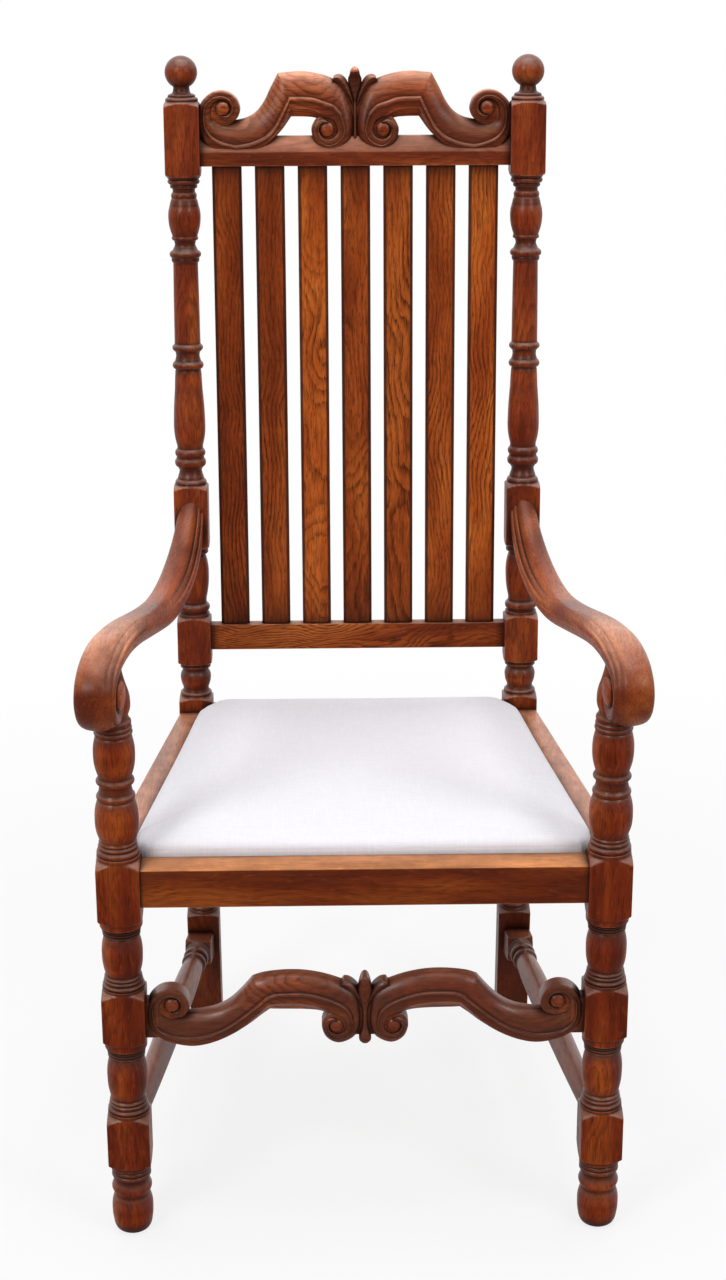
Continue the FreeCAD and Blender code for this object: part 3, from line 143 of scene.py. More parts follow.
# A white backdrop stands behind the chair and the room before it is darker, so that upper
# faces and the sides of the turnings take a pale sheen while the front stays deep in colour.
world = bpy.data.worlds.new("Studio")
bpy.context.scene.world = world
world.use_nodes = True
tree = world.node_tree
tree.nodes.clear()
seen = add(tree, "ShaderNodeLightPath")
toward = add(tree, "ShaderNodeSeparateXYZ", Vector=add(tree, "ShaderNodeTexCoord").outputs["Generated"])
behind = add(tree, "ShaderNodeMapRange", {"interpolation_type": "SMOOTHSTEP"}, Value=toward.outputs["Y"],
             _1=-0.55, _2=0.35, _3=0.16, _4=0.85)
backdrop = add(tree, "ShaderNodeMapRange", {"interpolation_type": "SMOOTHSTEP"}, Value=toward.outputs["Y"],
               _1=-0.2, _2=0.3)
direct = reckon(tree, "MAXIMUM", reckon(tree, "MAXIMUM", seen.outputs["Is Camera Ray"],
                                        seen.outputs["Is Transmission Ray"]),
                reckon(tree, "MULTIPLY", seen.outputs["Is Glossy Ray"], backdrop.outputs[0]))
ambient = add(tree, "ShaderNodeBackground", Color=(0.98, 0.98, 1.0, 1), Strength=behind.outputs[0])
white = add(tree, "ShaderNodeBackground", Color=(1, 1, 1, 1), Strength=1.0)
mixed = add(tree, "ShaderNodeMixShader", _0=direct, _1=ambient.outputs[0], _2=white.outputs[0])
add(tree, "ShaderNodeOutputWorld", Surface=mixed.outputs[0])

SOFTBOXES = [
    # name, place, aimed at, width, height, watts
    ("overhead", (0.0, -0.15, 3.0), (0, 0, 0.5), 2.1, 1.9, 38),
    ("left", (-1.9, -2.5, 2.4), (0, 0, 0.6), 0.9, 1.2, 46),
    ("right", (2.1, -2.1, 2.2), (0, 0, 0.6), 0.8, 1.2, 28),
]
for name, place, aim, wide, high, watts in SOFTBOXES:
    lamp_data = bpy.data.lights.new(name, "AREA")
    lamp_data.shape = "RECTANGLE"
    lamp_data.size, lamp_data.size_y, lamp_data.energy = wide, high, watts
    lamp = stood(name, lamp_data)
    lamp.location = place
    lamp.rotation_euler = (Vector(aim) - Vector(place)).to_track_quat("-Z", "Y").to_euler()


# Oak, stained a red brown and waxed for a long time. Growth rings run round a pith that lies
# beside or behind each blank, so they show as flames on one face and as lines on another, and
# their open early wood holds the darkest stain. Shade is painted dark into the hollows and where
# parts meet, partly standing for old wax and grime. Hands have rubbed the edges paler, and the
# upper faces are painted paler, partly as wear and partly as painted top light and sheen.
def group_sockets(group, ins, outs):
    """A group's inputs, as (name, kind, value), and its outputs, as (name, kind)."""
    for name, kind, given in ins:
        socket = group.interface.new_socket(name, in_out="INPUT", socket_type=kind)
        if given is not None:
            socket.default_value = given
    for name, kind in outs:
        group.interface.new_socket(name, in_out="OUTPUT", socket_type=kind)


def drawn_out(tree, vector, scale, stretch, detail=2.0, rough=0.5):
    """Noise drawn out along the grain, which is the third axis."""
    placed = add(tree, "ShaderNodeMapping", Vector=vector, Scale=(scale, scale, scale / stretch))
    made = add(tree, "ShaderNodeTexNoise", {"noise_dimensions": "3D"}, Vector=placed.outputs[0],
               Scale=1.0, Detail=detail, Roughness=rough)
    return made


def ranged(tree, value, low, high, first=0.0, last=1.0):
    """A value taken from one range to another, and kept inside it."""
    return add(tree, "ShaderNodeMapRange", Value=value, _1=low, _2=high, _3=first, _4=last).outputs[0]


RINGS_PER_METRE = 205.0
# Darkening colours: the shade painted into hollows and at contacts, partly grime; and the stain for plain and for
# worn wood, which also carries painted shade.
SHADE_AND_GRIME, STAIN_AND_SHADE, WORN_STAIN_AND_SHADE = (0.014, 0.0045, 0.0034, 1), (0.034, 0.0085, 0.0055, 1), (0.060, 0.020, 0.013, 1)
figure = bpy.data.node_groups.new("OakFigure", "ShaderNodeTree")
group_sockets(figure, [("Along Grain", "NodeSocketVector", None), ("Sway", "NodeSocketFloat", 0.05)],
              [("Tone", "NodeSocketFloat"), ("Ring", "NodeSocketFloat"), ("Streak", "NodeSocketFloat"),
               ("Fleck", "NodeSocketFloat"), ("Height", "NodeSocketFloat")])
given = add(figure, "NodeGroupInput")
grain = given.outputs["Along Grain"]
bend = add(figure, "ShaderNodeVectorMath", {"operation": "SUBTRACT"}, _1=(0.5, 0.5, 0.5),
           _0=drawn_out(figure, grain, 9, 1.3, 1.5).outputs["Color"])
bend = add(figure, "ShaderNodeVectorMath", {"operation": "SCALE"}, _0=bend.outputs[0], Scale=given.outputs["Sway"])
moved = add(figure, "ShaderNodeVectorMath", {"operation": "ADD"}, _0=grain, _1=bend.outputs[0])
flat = add(figure, "ShaderNodeVectorMath", {"operation": "MULTIPLY"}, _0=moved.outputs[0], _1=(1, 1, 0))
radius = add(figure, "ShaderNodeVectorMath", {"operation": "LENGTH"}, _0=flat.outputs[0])
ripple = drawn_out(figure, grain, 150, 7, 3.0, 0.6).outputs["Fac"]
rings = reckon(figure, "MULTIPLY_ADD", radius.outputs["Value"], RINGS_PER_METRE,
               reckon(figure, "MULTIPLY", ripple, 1.1))
place = reckon(figure, "FRACT", rings)
early = reckon(figure, "MULTIPLY", ranged(figure, place, 0.0, 0.10), ranged(figure, place, 0.12, 0.62, 1.0, 0.0))
thread = ranged(figure, drawn_out(figure, grain, 620, 26).outputs["Fac"], 0.36, 0.60)
strength = ranged(figure, drawn_out(figure, grain, 22, 5, 1.0).outputs["Fac"], 0.34, 0.60, 0.25, 1.0)
ring = reckon(figure, "MULTIPLY", reckon(figure, "MULTIPLY", early, reckon(figure, "MULTIPLY_ADD", thread, 0.6, 0.4)),
              strength)
tone = drawn_out(figure, grain, 30, 6, 3.0).outputs["Fac"]
coarse = ranged(figure, drawn_out(figure, grain, 360, 17, 2.0, 0.6).outputs["Fac"], 0.52, 0.70)
fine = ranged(figure, drawn_out(figure, grain, 1150, 20, 1.0).outputs["Fac"], 0.55, 0.68)
streak = reckon(figure, "MAXIMUM", reckon(figure, "MULTIPLY", coarse, 0.75), fine)
fleck = ranged(figure, drawn_out(figure, grain, 240, 3.0, 1.0).outputs["Fac"], 0.62, 0.72)
height = reckon(figure, "SUBTRACT", reckon(figure, "MULTIPLY", ripple, 0.3), reckon(figure, "MAXIMUM", fine, ring))
answer = add(figure, "NodeGroupOutput")
for name, value in (("Tone", tone), ("Ring", ring), ("Streak", streak), ("Fleck", fleck), ("Height", height)):
    figure.links.new(value, answer.inputs[name])

# This group paints light and shade into the colour. Ambient occlusion paints shade in hollows and at contacts, partly
# as grime. Upper faces are painted paler as top light and sheen, partly as wear. Edges are made paler as wear.
wax_wear_and_light = bpy.data.node_groups.new("WaxWearAndPaintedLight", "ShaderNodeTree")
group_sockets(wax_wear_and_light, [("Color", "NodeSocketColor", None), ("Rubbed", "NodeSocketColor", None),
                     ("Worn Above", "NodeSocketFloat", 0.3), ("Polish", "NodeSocketFloat", 0.5)],
              [("Color", "NodeSocketColor"), ("Polish", "NodeSocketFloat")])
given = add(wax_wear_and_light, "NodeGroupInput")
# Painted shade: ambient occlusion darkens hollows, corners and contacts towards the shade colour, and lessens the wax
# there.
nearby = add(wax_wear_and_light, "ShaderNodeAmbientOcclusion", {"samples": 8}, Distance=0.013)
occluded_shade = ranged(wax_wear_and_light, nearby.outputs["AO"], 0.96, 0.52)
around = add(wax_wear_and_light, "ShaderNodeBevel", {"samples": 4}, Radius=0.0018)
facing = add(wax_wear_and_light, "ShaderNodeNewGeometry")
turn = add(wax_wear_and_light, "ShaderNodeVectorMath", {"operation": "DOT_PRODUCT"}, _0=around.outputs[0],
           _1=facing.outputs["Normal"])
bend = ranged(wax_wear_and_light, turn.outputs["Value"], 0.995, 0.90)
spots = add(wax_wear_and_light, "ShaderNodeTexNoise", Scale=45.0, Detail=4.0, Roughness=0.6,
            Vector=add(wax_wear_and_light, "ShaderNodeTexCoord").outputs["Object"])
patchy = ranged(wax_wear_and_light, spots.outputs["Fac"], 0.36, 0.62)
# Painted top light and sheen: faces turned up take the paler rubbed colour, in patches, partly as real wear.
lie = add(wax_wear_and_light, "ShaderNodeSeparateXYZ", Vector=facing.outputs["Normal"]).outputs["Z"]
top_light_and_wear = reckon(wax_wear_and_light, "MULTIPLY", reckon(wax_wear_and_light, "MULTIPLY", ranged(wax_wear_and_light, lie, 0.22, 0.80), given.outputs["Worn Above"]),
               reckon(wax_wear_and_light, "MULTIPLY_ADD", patchy, 0.35, 0.65))
edge = reckon(wax_wear_and_light, "MULTIPLY", reckon(wax_wear_and_light, "MULTIPLY", bend, reckon(wax_wear_and_light, "SUBTRACT", 1.0, occluded_shade)),
              reckon(wax_wear_and_light, "MULTIPLY_ADD", patchy, 0.45, 0.25))
rubbed = blended(wax_wear_and_light, reckon(wax_wear_and_light, "MAXIMUM", edge, top_light_and_wear), given.outputs["Color"], given.outputs["Rubbed"])
dark = blended(wax_wear_and_light, reckon(wax_wear_and_light, "MULTIPLY", occluded_shade, 0.90), rubbed, SHADE_AND_GRIME)
polish = reckon(wax_wear_and_light, "MULTIPLY", reckon(wax_wear_and_light, "MULTIPLY", ranged(wax_wear_and_light, lie, 0.0, 0.75, 0.03, 1.0),
                                         given.outputs["Polish"]),
                reckon(wax_wear_and_light, "MULTIPLY_ADD", occluded_shade, -0.7, 1.0))
answer = add(wax_wear_and_light, "NodeGroupOutput")
for name, value in (("Color", dark), ("Polish", polish)):
    wax_wear_and_light.links.new(value, answer.inputs[name])


def blank(name):
    """A new material, its tree and its Principled shader."""
    made = bpy.data.materials.new(name)
    made.use_nodes = True
    return made, made.node_tree, made.node_tree.nodes["Principled BSDF"]


def surfaced(tree, shader, bumps, **values):
    """Sets a shader's inputs; bumps are the strength, distance and height of its relief."""
    for name, given in values.items():
        feed(tree, shader.inputs[name.replace("_", " ")], given)
    if bumps:
        bump = add(tree, "ShaderNodeBump", Strength=bumps[0], Distance=bumps[1], Height=bumps[2])
        tree.links.new(bump.outputs[0], shader.inputs["Normal"])


GRAIN_TURNS = {"up": (0, 0, 0), "across": (0, math.pi / 2, 0), "deep": (math.pi / 2, 0, 0)}


def oak(name, way, shades, rings=0.72, sway=0.05, rubbed=(0.38, 0.145, 0.045), worn=0.3, polish=0.5,
        gleam=0.16, tilt=0.0):
    """One stained oak: the grain's way, its dark, middle and light shades, its wear and painted sheen, and its wax.
    """
    made, tree, shader = blank(name)
    pith = add(tree, "ShaderNodeAttribute", {"attribute_name": "pith"})
    place = add(tree, "ShaderNodeVectorMath", {"operation": "SUBTRACT"}, _1=pith.outputs["Vector"],
                _0=add(tree, "ShaderNodeTexCoord").outputs["Object"])
    a, b, c = GRAIN_TURNS[way]
    turned = add(tree, "ShaderNodeMapping", Vector=place.outputs[0], Rotation=(a, b + tilt, c))
    look = add(tree, "ShaderNodeGroup", {"node_tree": figure}, Along_Grain=turned.outputs[0], Sway=sway)
    ground = ramp(tree, look.outputs["Tone"], [(0.34, shades[0]), (0.50, shades[1]), (0.68, shades[2])])
    deep = (*(c * 0.20 for c in shades[0]), 1)
    lined = blended(tree, reckon(tree, "MULTIPLY", look.outputs["Ring"], rings), ground, deep)
    pored = blended(tree, reckon(tree, "MULTIPLY", look.outputs["Streak"], 0.60), lined, deep)
    colour = blended(tree, reckon(tree, "MULTIPLY", look.outputs["Fleck"], 0.16), pored,
                     (*(min(1, c * 1.3) for c in shades[2]), 1))
    # The stain attribute darkens the wood: real stain in places, painted shade in others.
    stain_and_shade = add(tree, "ShaderNodeAttribute", {"attribute_name": "stain_and_shade"})
    colour = blended(tree, stain_and_shade.outputs["Fac"], colour, STAIN_AND_SHADE)
    # The paler colour of rubbed edges and upper faces: partly wear, partly painted sheen and top light.
    worn_and_sheen = ramp(tree, look.outputs["Tone"], [(0.34, tuple(c * 0.66 for c in rubbed)), (0.52, rubbed),
                                             (0.70, tuple(min(1, c * 1.2) for c in rubbed))])
    lines = reckon(tree, "MAXIMUM", reckon(tree, "MULTIPLY", look.outputs["Ring"], rings),
                   reckon(tree, "MULTIPLY", look.outputs["Streak"], 0.6))
    worn_and_sheen = blended(tree, lines, worn_and_sheen, (*(c * 0.34 for c in rubbed), 1))
    worn_and_sheen = blended(tree, reckon(tree, "MULTIPLY", stain_and_shade.outputs["Fac"], 0.8), worn_and_sheen, WORN_STAIN_AND_SHADE)
    aged = add(tree, "ShaderNodeGroup", {"node_tree": wax_wear_and_light}, Color=colour, Rubbed=worn_and_sheen, Worn_Above=worn,
               Polish=polish)
    surfaced(tree, shader, (0.4, 0.0004, look.outputs["Height"]), Base_Color=aged.outputs["Color"],
             Roughness=reckon(tree, "MULTIPLY_ADD", look.outputs["Streak"], 0.16, 0.40),
             Coat_Weight=aged.outputs["Polish"], Coat_Roughness=0.33, Specular_IOR_Level=gleam,
             Specular_Tint=(1, 0.50, 0.28, 1))
    return made


LEG_SHADES = [(0.110, 0.0110, 0.0020), (0.205, 0.0240, 0.0032), (0.350, 0.0660, 0.0075)]
POST_SHADES = [(0.130, 0.0155, 0.0044), (0.238, 0.0335, 0.0074), (0.370, 0.0750, 0.0140)]
RAIL_SHADES = [(0.094, 0.0120, 0.0022), (0.155, 0.0240, 0.0035), (0.250, 0.0530, 0.0075)]
leg_oak = oak("LegOak", "up", LEG_SHADES, rings=0.55, worn=0.8, rubbed=(0.46, 0.210, 0.135), polish=0.9,
              gleam=0.10)
post_oak = oak("PostOak", "up", POST_SHADES, rings=0.60, worn=0.75, rubbed=(0.50, 0.220, 0.145), polish=0.85)
rail_oak = oak("RailOak", "across", RAIL_SHADES, rings=0.40, worn=1.0, rubbed=(0.74, 0.290, 0.100))
side_oak = oak("SideOak", "deep", RAIL_SHADES, rings=0.40, worn=1.0, rubbed=(0.60, 0.260, 0.150), polish=0.9)


# Front legs: square oak blanks, turned between centres. Squares are left where the rails and
# stretchers come in, and the shoulders run out into them in a curve on every face.
# Each profile is a list of (height, radius, swell since the last point), in millimetres.
def lathe_rows(profile, half):
    """Heights, radii and stain along a profile: darker on small turnings, in grooves and on the squares,
    and each swell painted lighter in its middle and darker at its ends, as painted light and shade.
    """
    rows = []
    for (low, near, _), (high, far, swell) in zip(profile, profile[1:]):
        reach = math.hypot(high - low, far - near)
        small = reach < 12
        steps = max(1, round(reach / 0.8)) if swell and small else max(1, round(reach / 2.4))
        for step in range(steps):
            share = step / steps
            rise = math.sin(math.pi * share)
            rows.append((low + (high - low) * share,
                         near + (far - near) * share + swell * (rise ** 0.6 if small else rise),
                         # Painted light and shade: each swell lighter in its middle and darker towards its ends.
                         (0.40 if small else 0.24 * (1 - rise)) if swell else 0.14))
    rows.append((profile[-1][0], profile[-1][1], 0))
    heights, radii, stain_and_shade = np.array(rows, float).T
    crests = np.array([radii[np.abs(heights - height) < 3.6].max() for height in heights])
    sunk = np.clip((np.minimum(crests, half + 1.5) - radii) / 1.8, 0, 1)
    return heights, radii, np.clip(np.where(radii > half + 1.5, 0.22, stain_and_shade + sunk * 0.60), 0, 0.93)


QUARTER = (0, 0.08, 0.16, 0.24, 0.31, 0.37, 0.42, 0.455, 0.48, 0.493)
QUARTER = QUARTER + tuple(1 - share for share in QUARTER[:0:-1])
RING = np.array([(corner + share) * math.pi / 2 for corner in range(4) for share in QUARTER])
SQUARE_CORNER = 36.0
BLEND = 0.35


def turned_rings(profile, half, path):
    """Rings of points of a blank that is square wherever the turning doesn't reach."""
    heights, radii, stain_and_shade = lathe_rows(profile, half)
    corner = np.abs(np.cos(RING)) ** SQUARE_CORNER + np.abs(np.sin(RING)) ** SQUARE_CORNER
    square = half / corner ** (1 / SQUARE_CORNER)
    rings = []
    for height, radius in zip(heights, radii):
        reach = -BLEND * np.log(np.exp(-radius / BLEND) + np.exp(-square / BLEND))
        centre, across, back = path(height)
        rings.append(centre + np.outer(reach * np.cos(RING), across) + np.outer(reach * np.sin(RING), back))
    return rings, stain_and_shade


def skin(rings, stain_and_shade=None):
    """Points and faces of closed rings joined in order, with both ends closed, and their darkening: stain and painted
    shade.
    """
    count = len(rings[0])
    points = [point for loop in rings for point in loop]
    faces = []
    for row in range(len(rings) - 1):
        start = row * count
        for step in range(count):
            after = (step + 1) % count
            faces.append((start + step, start + after, start + count + after, start + count + step))
    for loop, start, flip in ((rings[0], 0, True), (rings[-1], (len(rings) - 1) * count, False)):
        middle = len(points)
        points.append(np.mean(loop, axis=0))
        for step in range(count):
            face = (start + step, start + (step + 1) % count, middle)
            faces.append(face[::-1] if flip else face)
    if stain_and_shade is None:
        return points, faces, np.zeros(len(points))
    return points, faces, np.append(np.repeat(stain_and_shade, count), (stain_and_shade[0], stain_and_shade[-1]))


def mark(mesh, name, values):
    """Numbers or vectors on a mesh's points, for its material to read."""
    kind, field = ("FLOAT", "value") if values.ndim == 1 else ("FLOAT_VECTOR", "vector")
    mesh.attributes.new(name, kind, "POINT").data.foreach_set(field, values.ravel())


def make_piece(name, parts, material, nodes, smooth=38, pith=(0, 0, 0), body="chair_frame"):
    """One object from one or more skins, in millimetres; its faces are turned outwards.

    The pith is a point of the line that the blank's growth rings run round.
    """
    mesh = bpy.data.meshes.new(name)
    shape = bmesh.new()
    dark = shape.verts.layers.float.new("stain_and_shade")
    for points, faces, stain_and_shade in parts:
        made = [shape.verts.new([float(c) * MM for c in point]) for point in points]
        for point, depth in zip(made, stain_and_shade):
            point[dark] = depth
        for face in faces:
            if len(set(face)) > 2:
                shape.faces.new([made[index] for index in face])
    bmesh.ops.remove_doubles(shape, verts=shape.verts, dist=0.00002)
    bmesh.ops.dissolve_degenerate(shape, edges=shape.edges, dist=0.000005)
    bmesh.ops.recalc_face_normals(shape, faces=shape.faces)
    shape.to_mesh(mesh)
    shape.free()
    mesh.shade_smooth()
    mesh.set_sharp_from_angle(angle=math.radians(smooth))
    mark(mesh, "pith", np.tile(np.array(pith, float) * MM, (len(mesh.vertices), 1)))
    piece = stood(name, mesh)
    mesh.materials.append(material)
    finish_piece(piece, body, nodes)
    return piece


def finish_piece(piece, body, nodes):
    if nodes:
        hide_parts(*nodes)
    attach(piece, body)


def mirrored(part):
    """The same skin on the other side of the chair."""
    points, faces, stain_and_shade = part
    return [(-point[0], point[1], point[2]) for point in points], [face[::-1] for face in faces], stain_and_shade


LEG_HALF, LEG_SPREAD = 23.0, 258
LEG_FOOT = [
    (0, 12.5, 0), (0.8, 15.5, 0.2), (4, 19.0, 0.5), (11, 21.2, 0.4), (27, 22.7, 0.4), (43, 20.4, 0.8),
    (44.5, 19.5, 0), (47.5, 19.4, 0), (48.5, 20.0, 0), (61, 20.0, 2.1), (62.5, 19.4, 0), (67.5, 19.4, -0.2),
    (68, 20.3, 0), (72.6, 20.3, 1.4), (73.2, 19.5, 0), (73.8, 20.3, 0), (78.4, 20.3, 1.4), (79.2, 19.4, 0),
    (80, 21.8, 0), (83, 22.2, 0.3), (84.5, 22.3, 0), (93, 34, 1.6),
]
# The same small vase stands twice, above and below the middle square, as shares of the space.
LEG_VASE = [
    (0.042, 22.9, 0), (0.063, 22.9, 0), (0.070, 21.0, 0), (0.115, 21.0, 1.5), (0.124, 19.9, 0),
    (0.134, 19.9, 0), (0.172, 19.9, 1.1), (0.180, 19.0, 0), (0.188, 19.2, 0), (0.216, 19.2, 1.1),
    (0.226, 18.5, 0), (0.240, 18.6, 0), (0.49, 21.8, 0.9), (0.757, 18.9, 1.1), (0.764, 18.4, 0),
    (0.770, 19.2, 0), (0.795, 19.2, 1.1), (0.803, 18.4, 0), (0.809, 19.4, 0), (0.835, 19.6, 1.2),
    (0.843, 18.9, 0), (0.849, 20.1, 0), (0.877, 20.4, 1.3), (0.886, 19.8, 0), (0.894, 23.0, 0),
    (0.902, 23.0, 0),
]
LEG_TOP = [
    (443, 34, 0), (453, 23.4, 1.2), (454, 23.2, 0), (457, 23.1, 0), (457.8, 21.6, 0), (463, 21.3, 1.3),
    (464, 20.0, 0), (465, 20.0, 0), (468.5, 20.0, 1.0), (469.5, 19.0, 0), (473, 19.0, 1.0), (474, 18.7, 0),
    (475.5, 19.2, 0), (495, 23.2, 1.0), (519, 19.8, 1.2), (520, 19.0, 0), (521, 19.5, 0), (526, 19.4, 1.0),
    (527.3, 18.2, 0), (531, 17.4, 0), (535, 17.0, -0.2), (537.2, 17.5, 0), (538, 18.7, 0), (543.5, 18.7, 1.5),
    (544.6, 17.8, 0), (547, 17.8, 0), (569, 21.8, 1.0), (591, 19.1, 0.9), (592, 18.4, 0), (593, 19.2, 0),
    (597, 19.2, 1.0), (598, 18.5, 0), (602, 18.6, 1.0), (603, 18.0, 0), (608.5, 18.1, 1.1), (610, 16.8, 0),
    (613, 16.2, 0), (614.5, 16.3, 0), (627, 18.8, 0.9), (645, 15.4, 1.0), (668, 10.3, -0.5),
]


def vase_between(low, high):
    span = high - low
    rows = [(low - 6, 34, 0), (low + 3, 23.0, 1.2)]
    rows += [(low + share * span, radius, swell) for share, radius, swell in LEG_VASE]
    return rows + [(high - 3, 23.2, 0), (high + 6, 34, 1.2)]


def upright(x, y):
    def path(height):
        return np.array((x, y, height)), np.array((1.0, 0, 0)), np.array((0, 1.0, 0))
    return path


leg_profile = LEG_FOOT + vase_between(145, 240) + vase_between(297, 384) + LEG_TOP
for side, x in (("left", -LEG_SPREAD), ("right", LEG_SPREAD)):
    leg = skin(*turned_rings(leg_profile, LEG_HALF, upright(x, LEG_LINE)))
    make_piece("front_leg_%s_turned" % side, [leg], leg_oak, ["front_leg_" + side], pith=(x + 34, LEG_LINE + 58, x))


# Rear posts: one blank each from foot to finial, sawn with a bend at the seat, so that the back
# leans and the feet kick out behind. Turned like the legs, and topped with a ball.
AXIS_DEPTH = 440
POST_LINE = LEG_LINE + AXIS_DEPTH
POST_HALF, POST_SPREAD = 20.0, 197
RAIL_BASE = 402
RAKE, KICK = math.radians(3.97), math.radians(5.4)
KICK_TOP, RAKE_START = 385.0, 445.0


def swept_post(x):
    """The bent axis: straight down the kick, up through the seat, and back along the rake."""
    def path(height):
        if height < KICK_TOP:
            lean, start = -KICK, KICK_TOP
        elif height > RAKE_START:
            lean, start = RAKE, RAKE_START
        else:
            lean, start = 0.0, height
        run = height - start
        centre = np.array((x, POST_LINE + math.sin(lean) * run, start + math.cos(lean) * run))
        return centre, np.array((1.0, 0, 0)), np.array((0, math.cos(lean), -math.sin(lean)))
    return path


def above_seat(rows):
    return [(RAKE_START + rise, radius, swell) for rise, radius, swell in rows]


BALL = [(755 + 18.5 * math.sin(a), 18.5 * math.cos(a), 0)
        for a in [math.radians(d) for d in range(-60, 90, 10)]] + [(773.5, 0.4, 0)]
POST_FOOT = [(-3, 40, 0), (154, 40, 0)]
POST_KICK = [
    (162, 19.2, 1.2), (164.5, 18.8, 0), (166, 17.2, 0), (171, 17.2, 1.4), (172.5, 15.2, 0), (175, 14.8, 0),
    (178, 15.2, 0), (214, 18.2, 0.9), (253, 15.2, 0.7), (255, 14.3, 0), (257, 14.3, 0), (258, 16.0, 0),
    (264, 16.2, 1.6), (265.5, 14.6, 0), (270, 13.4, -0.2), (274, 14.4, 0), (275, 16.2, 0), (281, 16.2, 1.5),
    (282.5, 15.4, 0), (318, 18.2, 0.8), (356, 15.8, 0.6), (357.5, 14.8, 0), (360, 14.8, 0), (361, 16.6, 0),
    (367, 16.8, 1.5), (368.5, 16.2, 0), (369.5, 18.8, 0), (372, 19.2, 0), (381, 30, 1.0),
]
POST_SEAT = [
    (10, 30, 0), (16, 19.2, 1.0), (17.5, 18.6, 0), (21, 18.4, 0.5), (22, 16.4, 0), (24.5, 15.4, 0),
    (27, 15.3, 0), (39, 18.3, 0.7), (47.5, 16.2, 0.8), (48.5, 15.4, 0), (50.5, 15.4, 0), (51.2, 17.0, 0),
    (55.3, 17.2, 1.3), (56.3, 18.6, 0), (57, 19.0, 0), (63, 30, 1.0),
]
POST_VASE = [
    (110, 30, 0), (116.5, 19.1, 1.0), (117.5, 18.8, 0), (119.8, 18.6, 0), (120.6, 16.6, 0), (122.6, 16.6, 0),
    (123.2, 17.4, 0), (131, 17.4, 1.6), (132.2, 15.8, 0), (136, 15.2, -0.1), (138.5, 15.4, 0),
    (168, 18.7, 0.9), (190, 16.0, 0.9), (191.5, 15.2, 0), (193.3, 15.2, 0), (194, 17.4, 0), (199, 17.6, 1.2),
    (200, 18.8, 0), (201, 19.1, 0), (207, 30, 1.0),
]
POST_BACK = [
    (272, 30, 0), (278.5, 19.1, 1.0), (280, 18.7, 0), (283.8, 17.4, 0.4), (285, 15.8, 0), (289, 14.9, 0),
    (296, 13.2, -0.4), (299.5, 15.2, 0), (300.4, 16.6, 0), (309, 16.9, 1.6), (310.4, 16.2, 0), (312, 16.2, 0),
    (313, 16.6, 0), (320.5, 16.2, 1.5), (321.6, 15.2, 0), (325, 15.2, 0), (348, 18.6, 0.8), (393, 16.2, 0.5),
    (414, 15.2, 0.1), (415, 14.8, 0), (416.5, 14.8, 0), (417.2, 16.4, 0), (424.6, 16.4, 1.7), (426, 15.2, 0),
    (432.5, 13.7, -0.2), (436, 14.2, 0), (437.6, 15.6, 0), (438.4, 16.4, 0), (444.8, 16.2, 1.6), (446, 15.2, 0),
    (450, 15.1, 0), (497, 14.8, 0), (540, 14.3, 0), (541.5, 15.6, 0), (545.8, 15.9, 0.4), (546.8, 16.8, 0),
    (553.4, 16.6, 1.5), (555, 14.4, 0), (558, 13.0, 0), (561.7, 11.8, -0.2), (565.5, 12.6, 0), (566.6, 14.6, 0),
    (570.4, 14.6, 0.7), (571.6, 14.6, 0), (592, 18.7, 1.0), (606, 16.6, 0.7), (613, 14.8, 0.2), (614, 14.2, 0),
    (619.5, 14.2, 0.6), (621, 12.9, 0), (624.6, 12.9, 0), (625.6, 15.0, 0), (629.4, 15.2, 0.6), (630.2, 16.8, 0),
    (635.6, 17.0, 1.6), (636.6, 18.4, 0), (638, 19.0, 0), (644, 30, 1.0),
]
POST_FINIAL = [
    (716, 30, 0), (722, 19.0, 1.0), (723, 18.4, 0), (726.6, 17.6, 0.7), (727.8, 15.6, 0), (730.6, 14.6, 0.5),
    (731.6, 11.2, 0), (734, 9.7, -0.2), (737.4, 9.2, 0),
] + BALL
post_profile = POST_FOOT + POST_KICK
for rows in (POST_SEAT, POST_VASE, POST_BACK, POST_FINIAL):
    post_profile = post_profile + above_seat(rows)
for side, x in (("left", -POST_SPREAD), ("right", POST_SPREAD)):
    rings, stain_and_shade = turned_rings(post_profile, POST_HALF, swept_post(x))
    for number, loop in enumerate(rings):
        loop[:, 2] = np.maximum(loop[:, 2], 0)
        # Below the seat rails the rear posts are painted darker: painted shade under the seat.
        if loop[:, 2].max() < RAIL_BASE:
            stain_and_shade[number] = max(stain_and_shade[number], 0.62)
    make_piece("rear_post_%s_turned" % side, [skin(rings, stain_and_shade)], post_oak,
               ["rear_post_" + side], pith=(x - 14, POST_LINE + 62, x))


# Seat rails and the lower back rail: planed oak with eased edges, rebated inside for the seat.
# The tops are the palest wood on the chair, worn by the sitters' legs and painted paler as top light.
def rounded(corners, radius, steps=3):
    """A closed outline with its corners eased, from corner points in order."""
    outline = []
    count = len(corners)
    for index, corner in enumerate(corners):
        here = np.array(corner, float)
        before = np.array(corners[index - 1], float) - here
        after = np.array(corners[(index + 1) % count], float) - here
        ease = min(radius, np.linalg.norm(before) / 2.2, np.linalg.norm(after) / 2.2)
        first = here + before / np.linalg.norm(before) * ease
        last = here + after / np.linalg.norm(after) * ease
        for step in range(steps + 1):
            share = step / steps
            outline.append((1 - share) ** 2 * first + 2 * share * (1 - share) * here + share ** 2 * last)
    return outline


def prism(section_at, ends, steps=1):
    """A bar whose section, a closed outline, is placed at stations from one end to the other."""
    rings = []
    for step in range(steps + 1):
        share = step / steps
        rings.append(np.array(section_at(ends[0] + (ends[1] - ends[0]) * share)))
    return skin(rings)


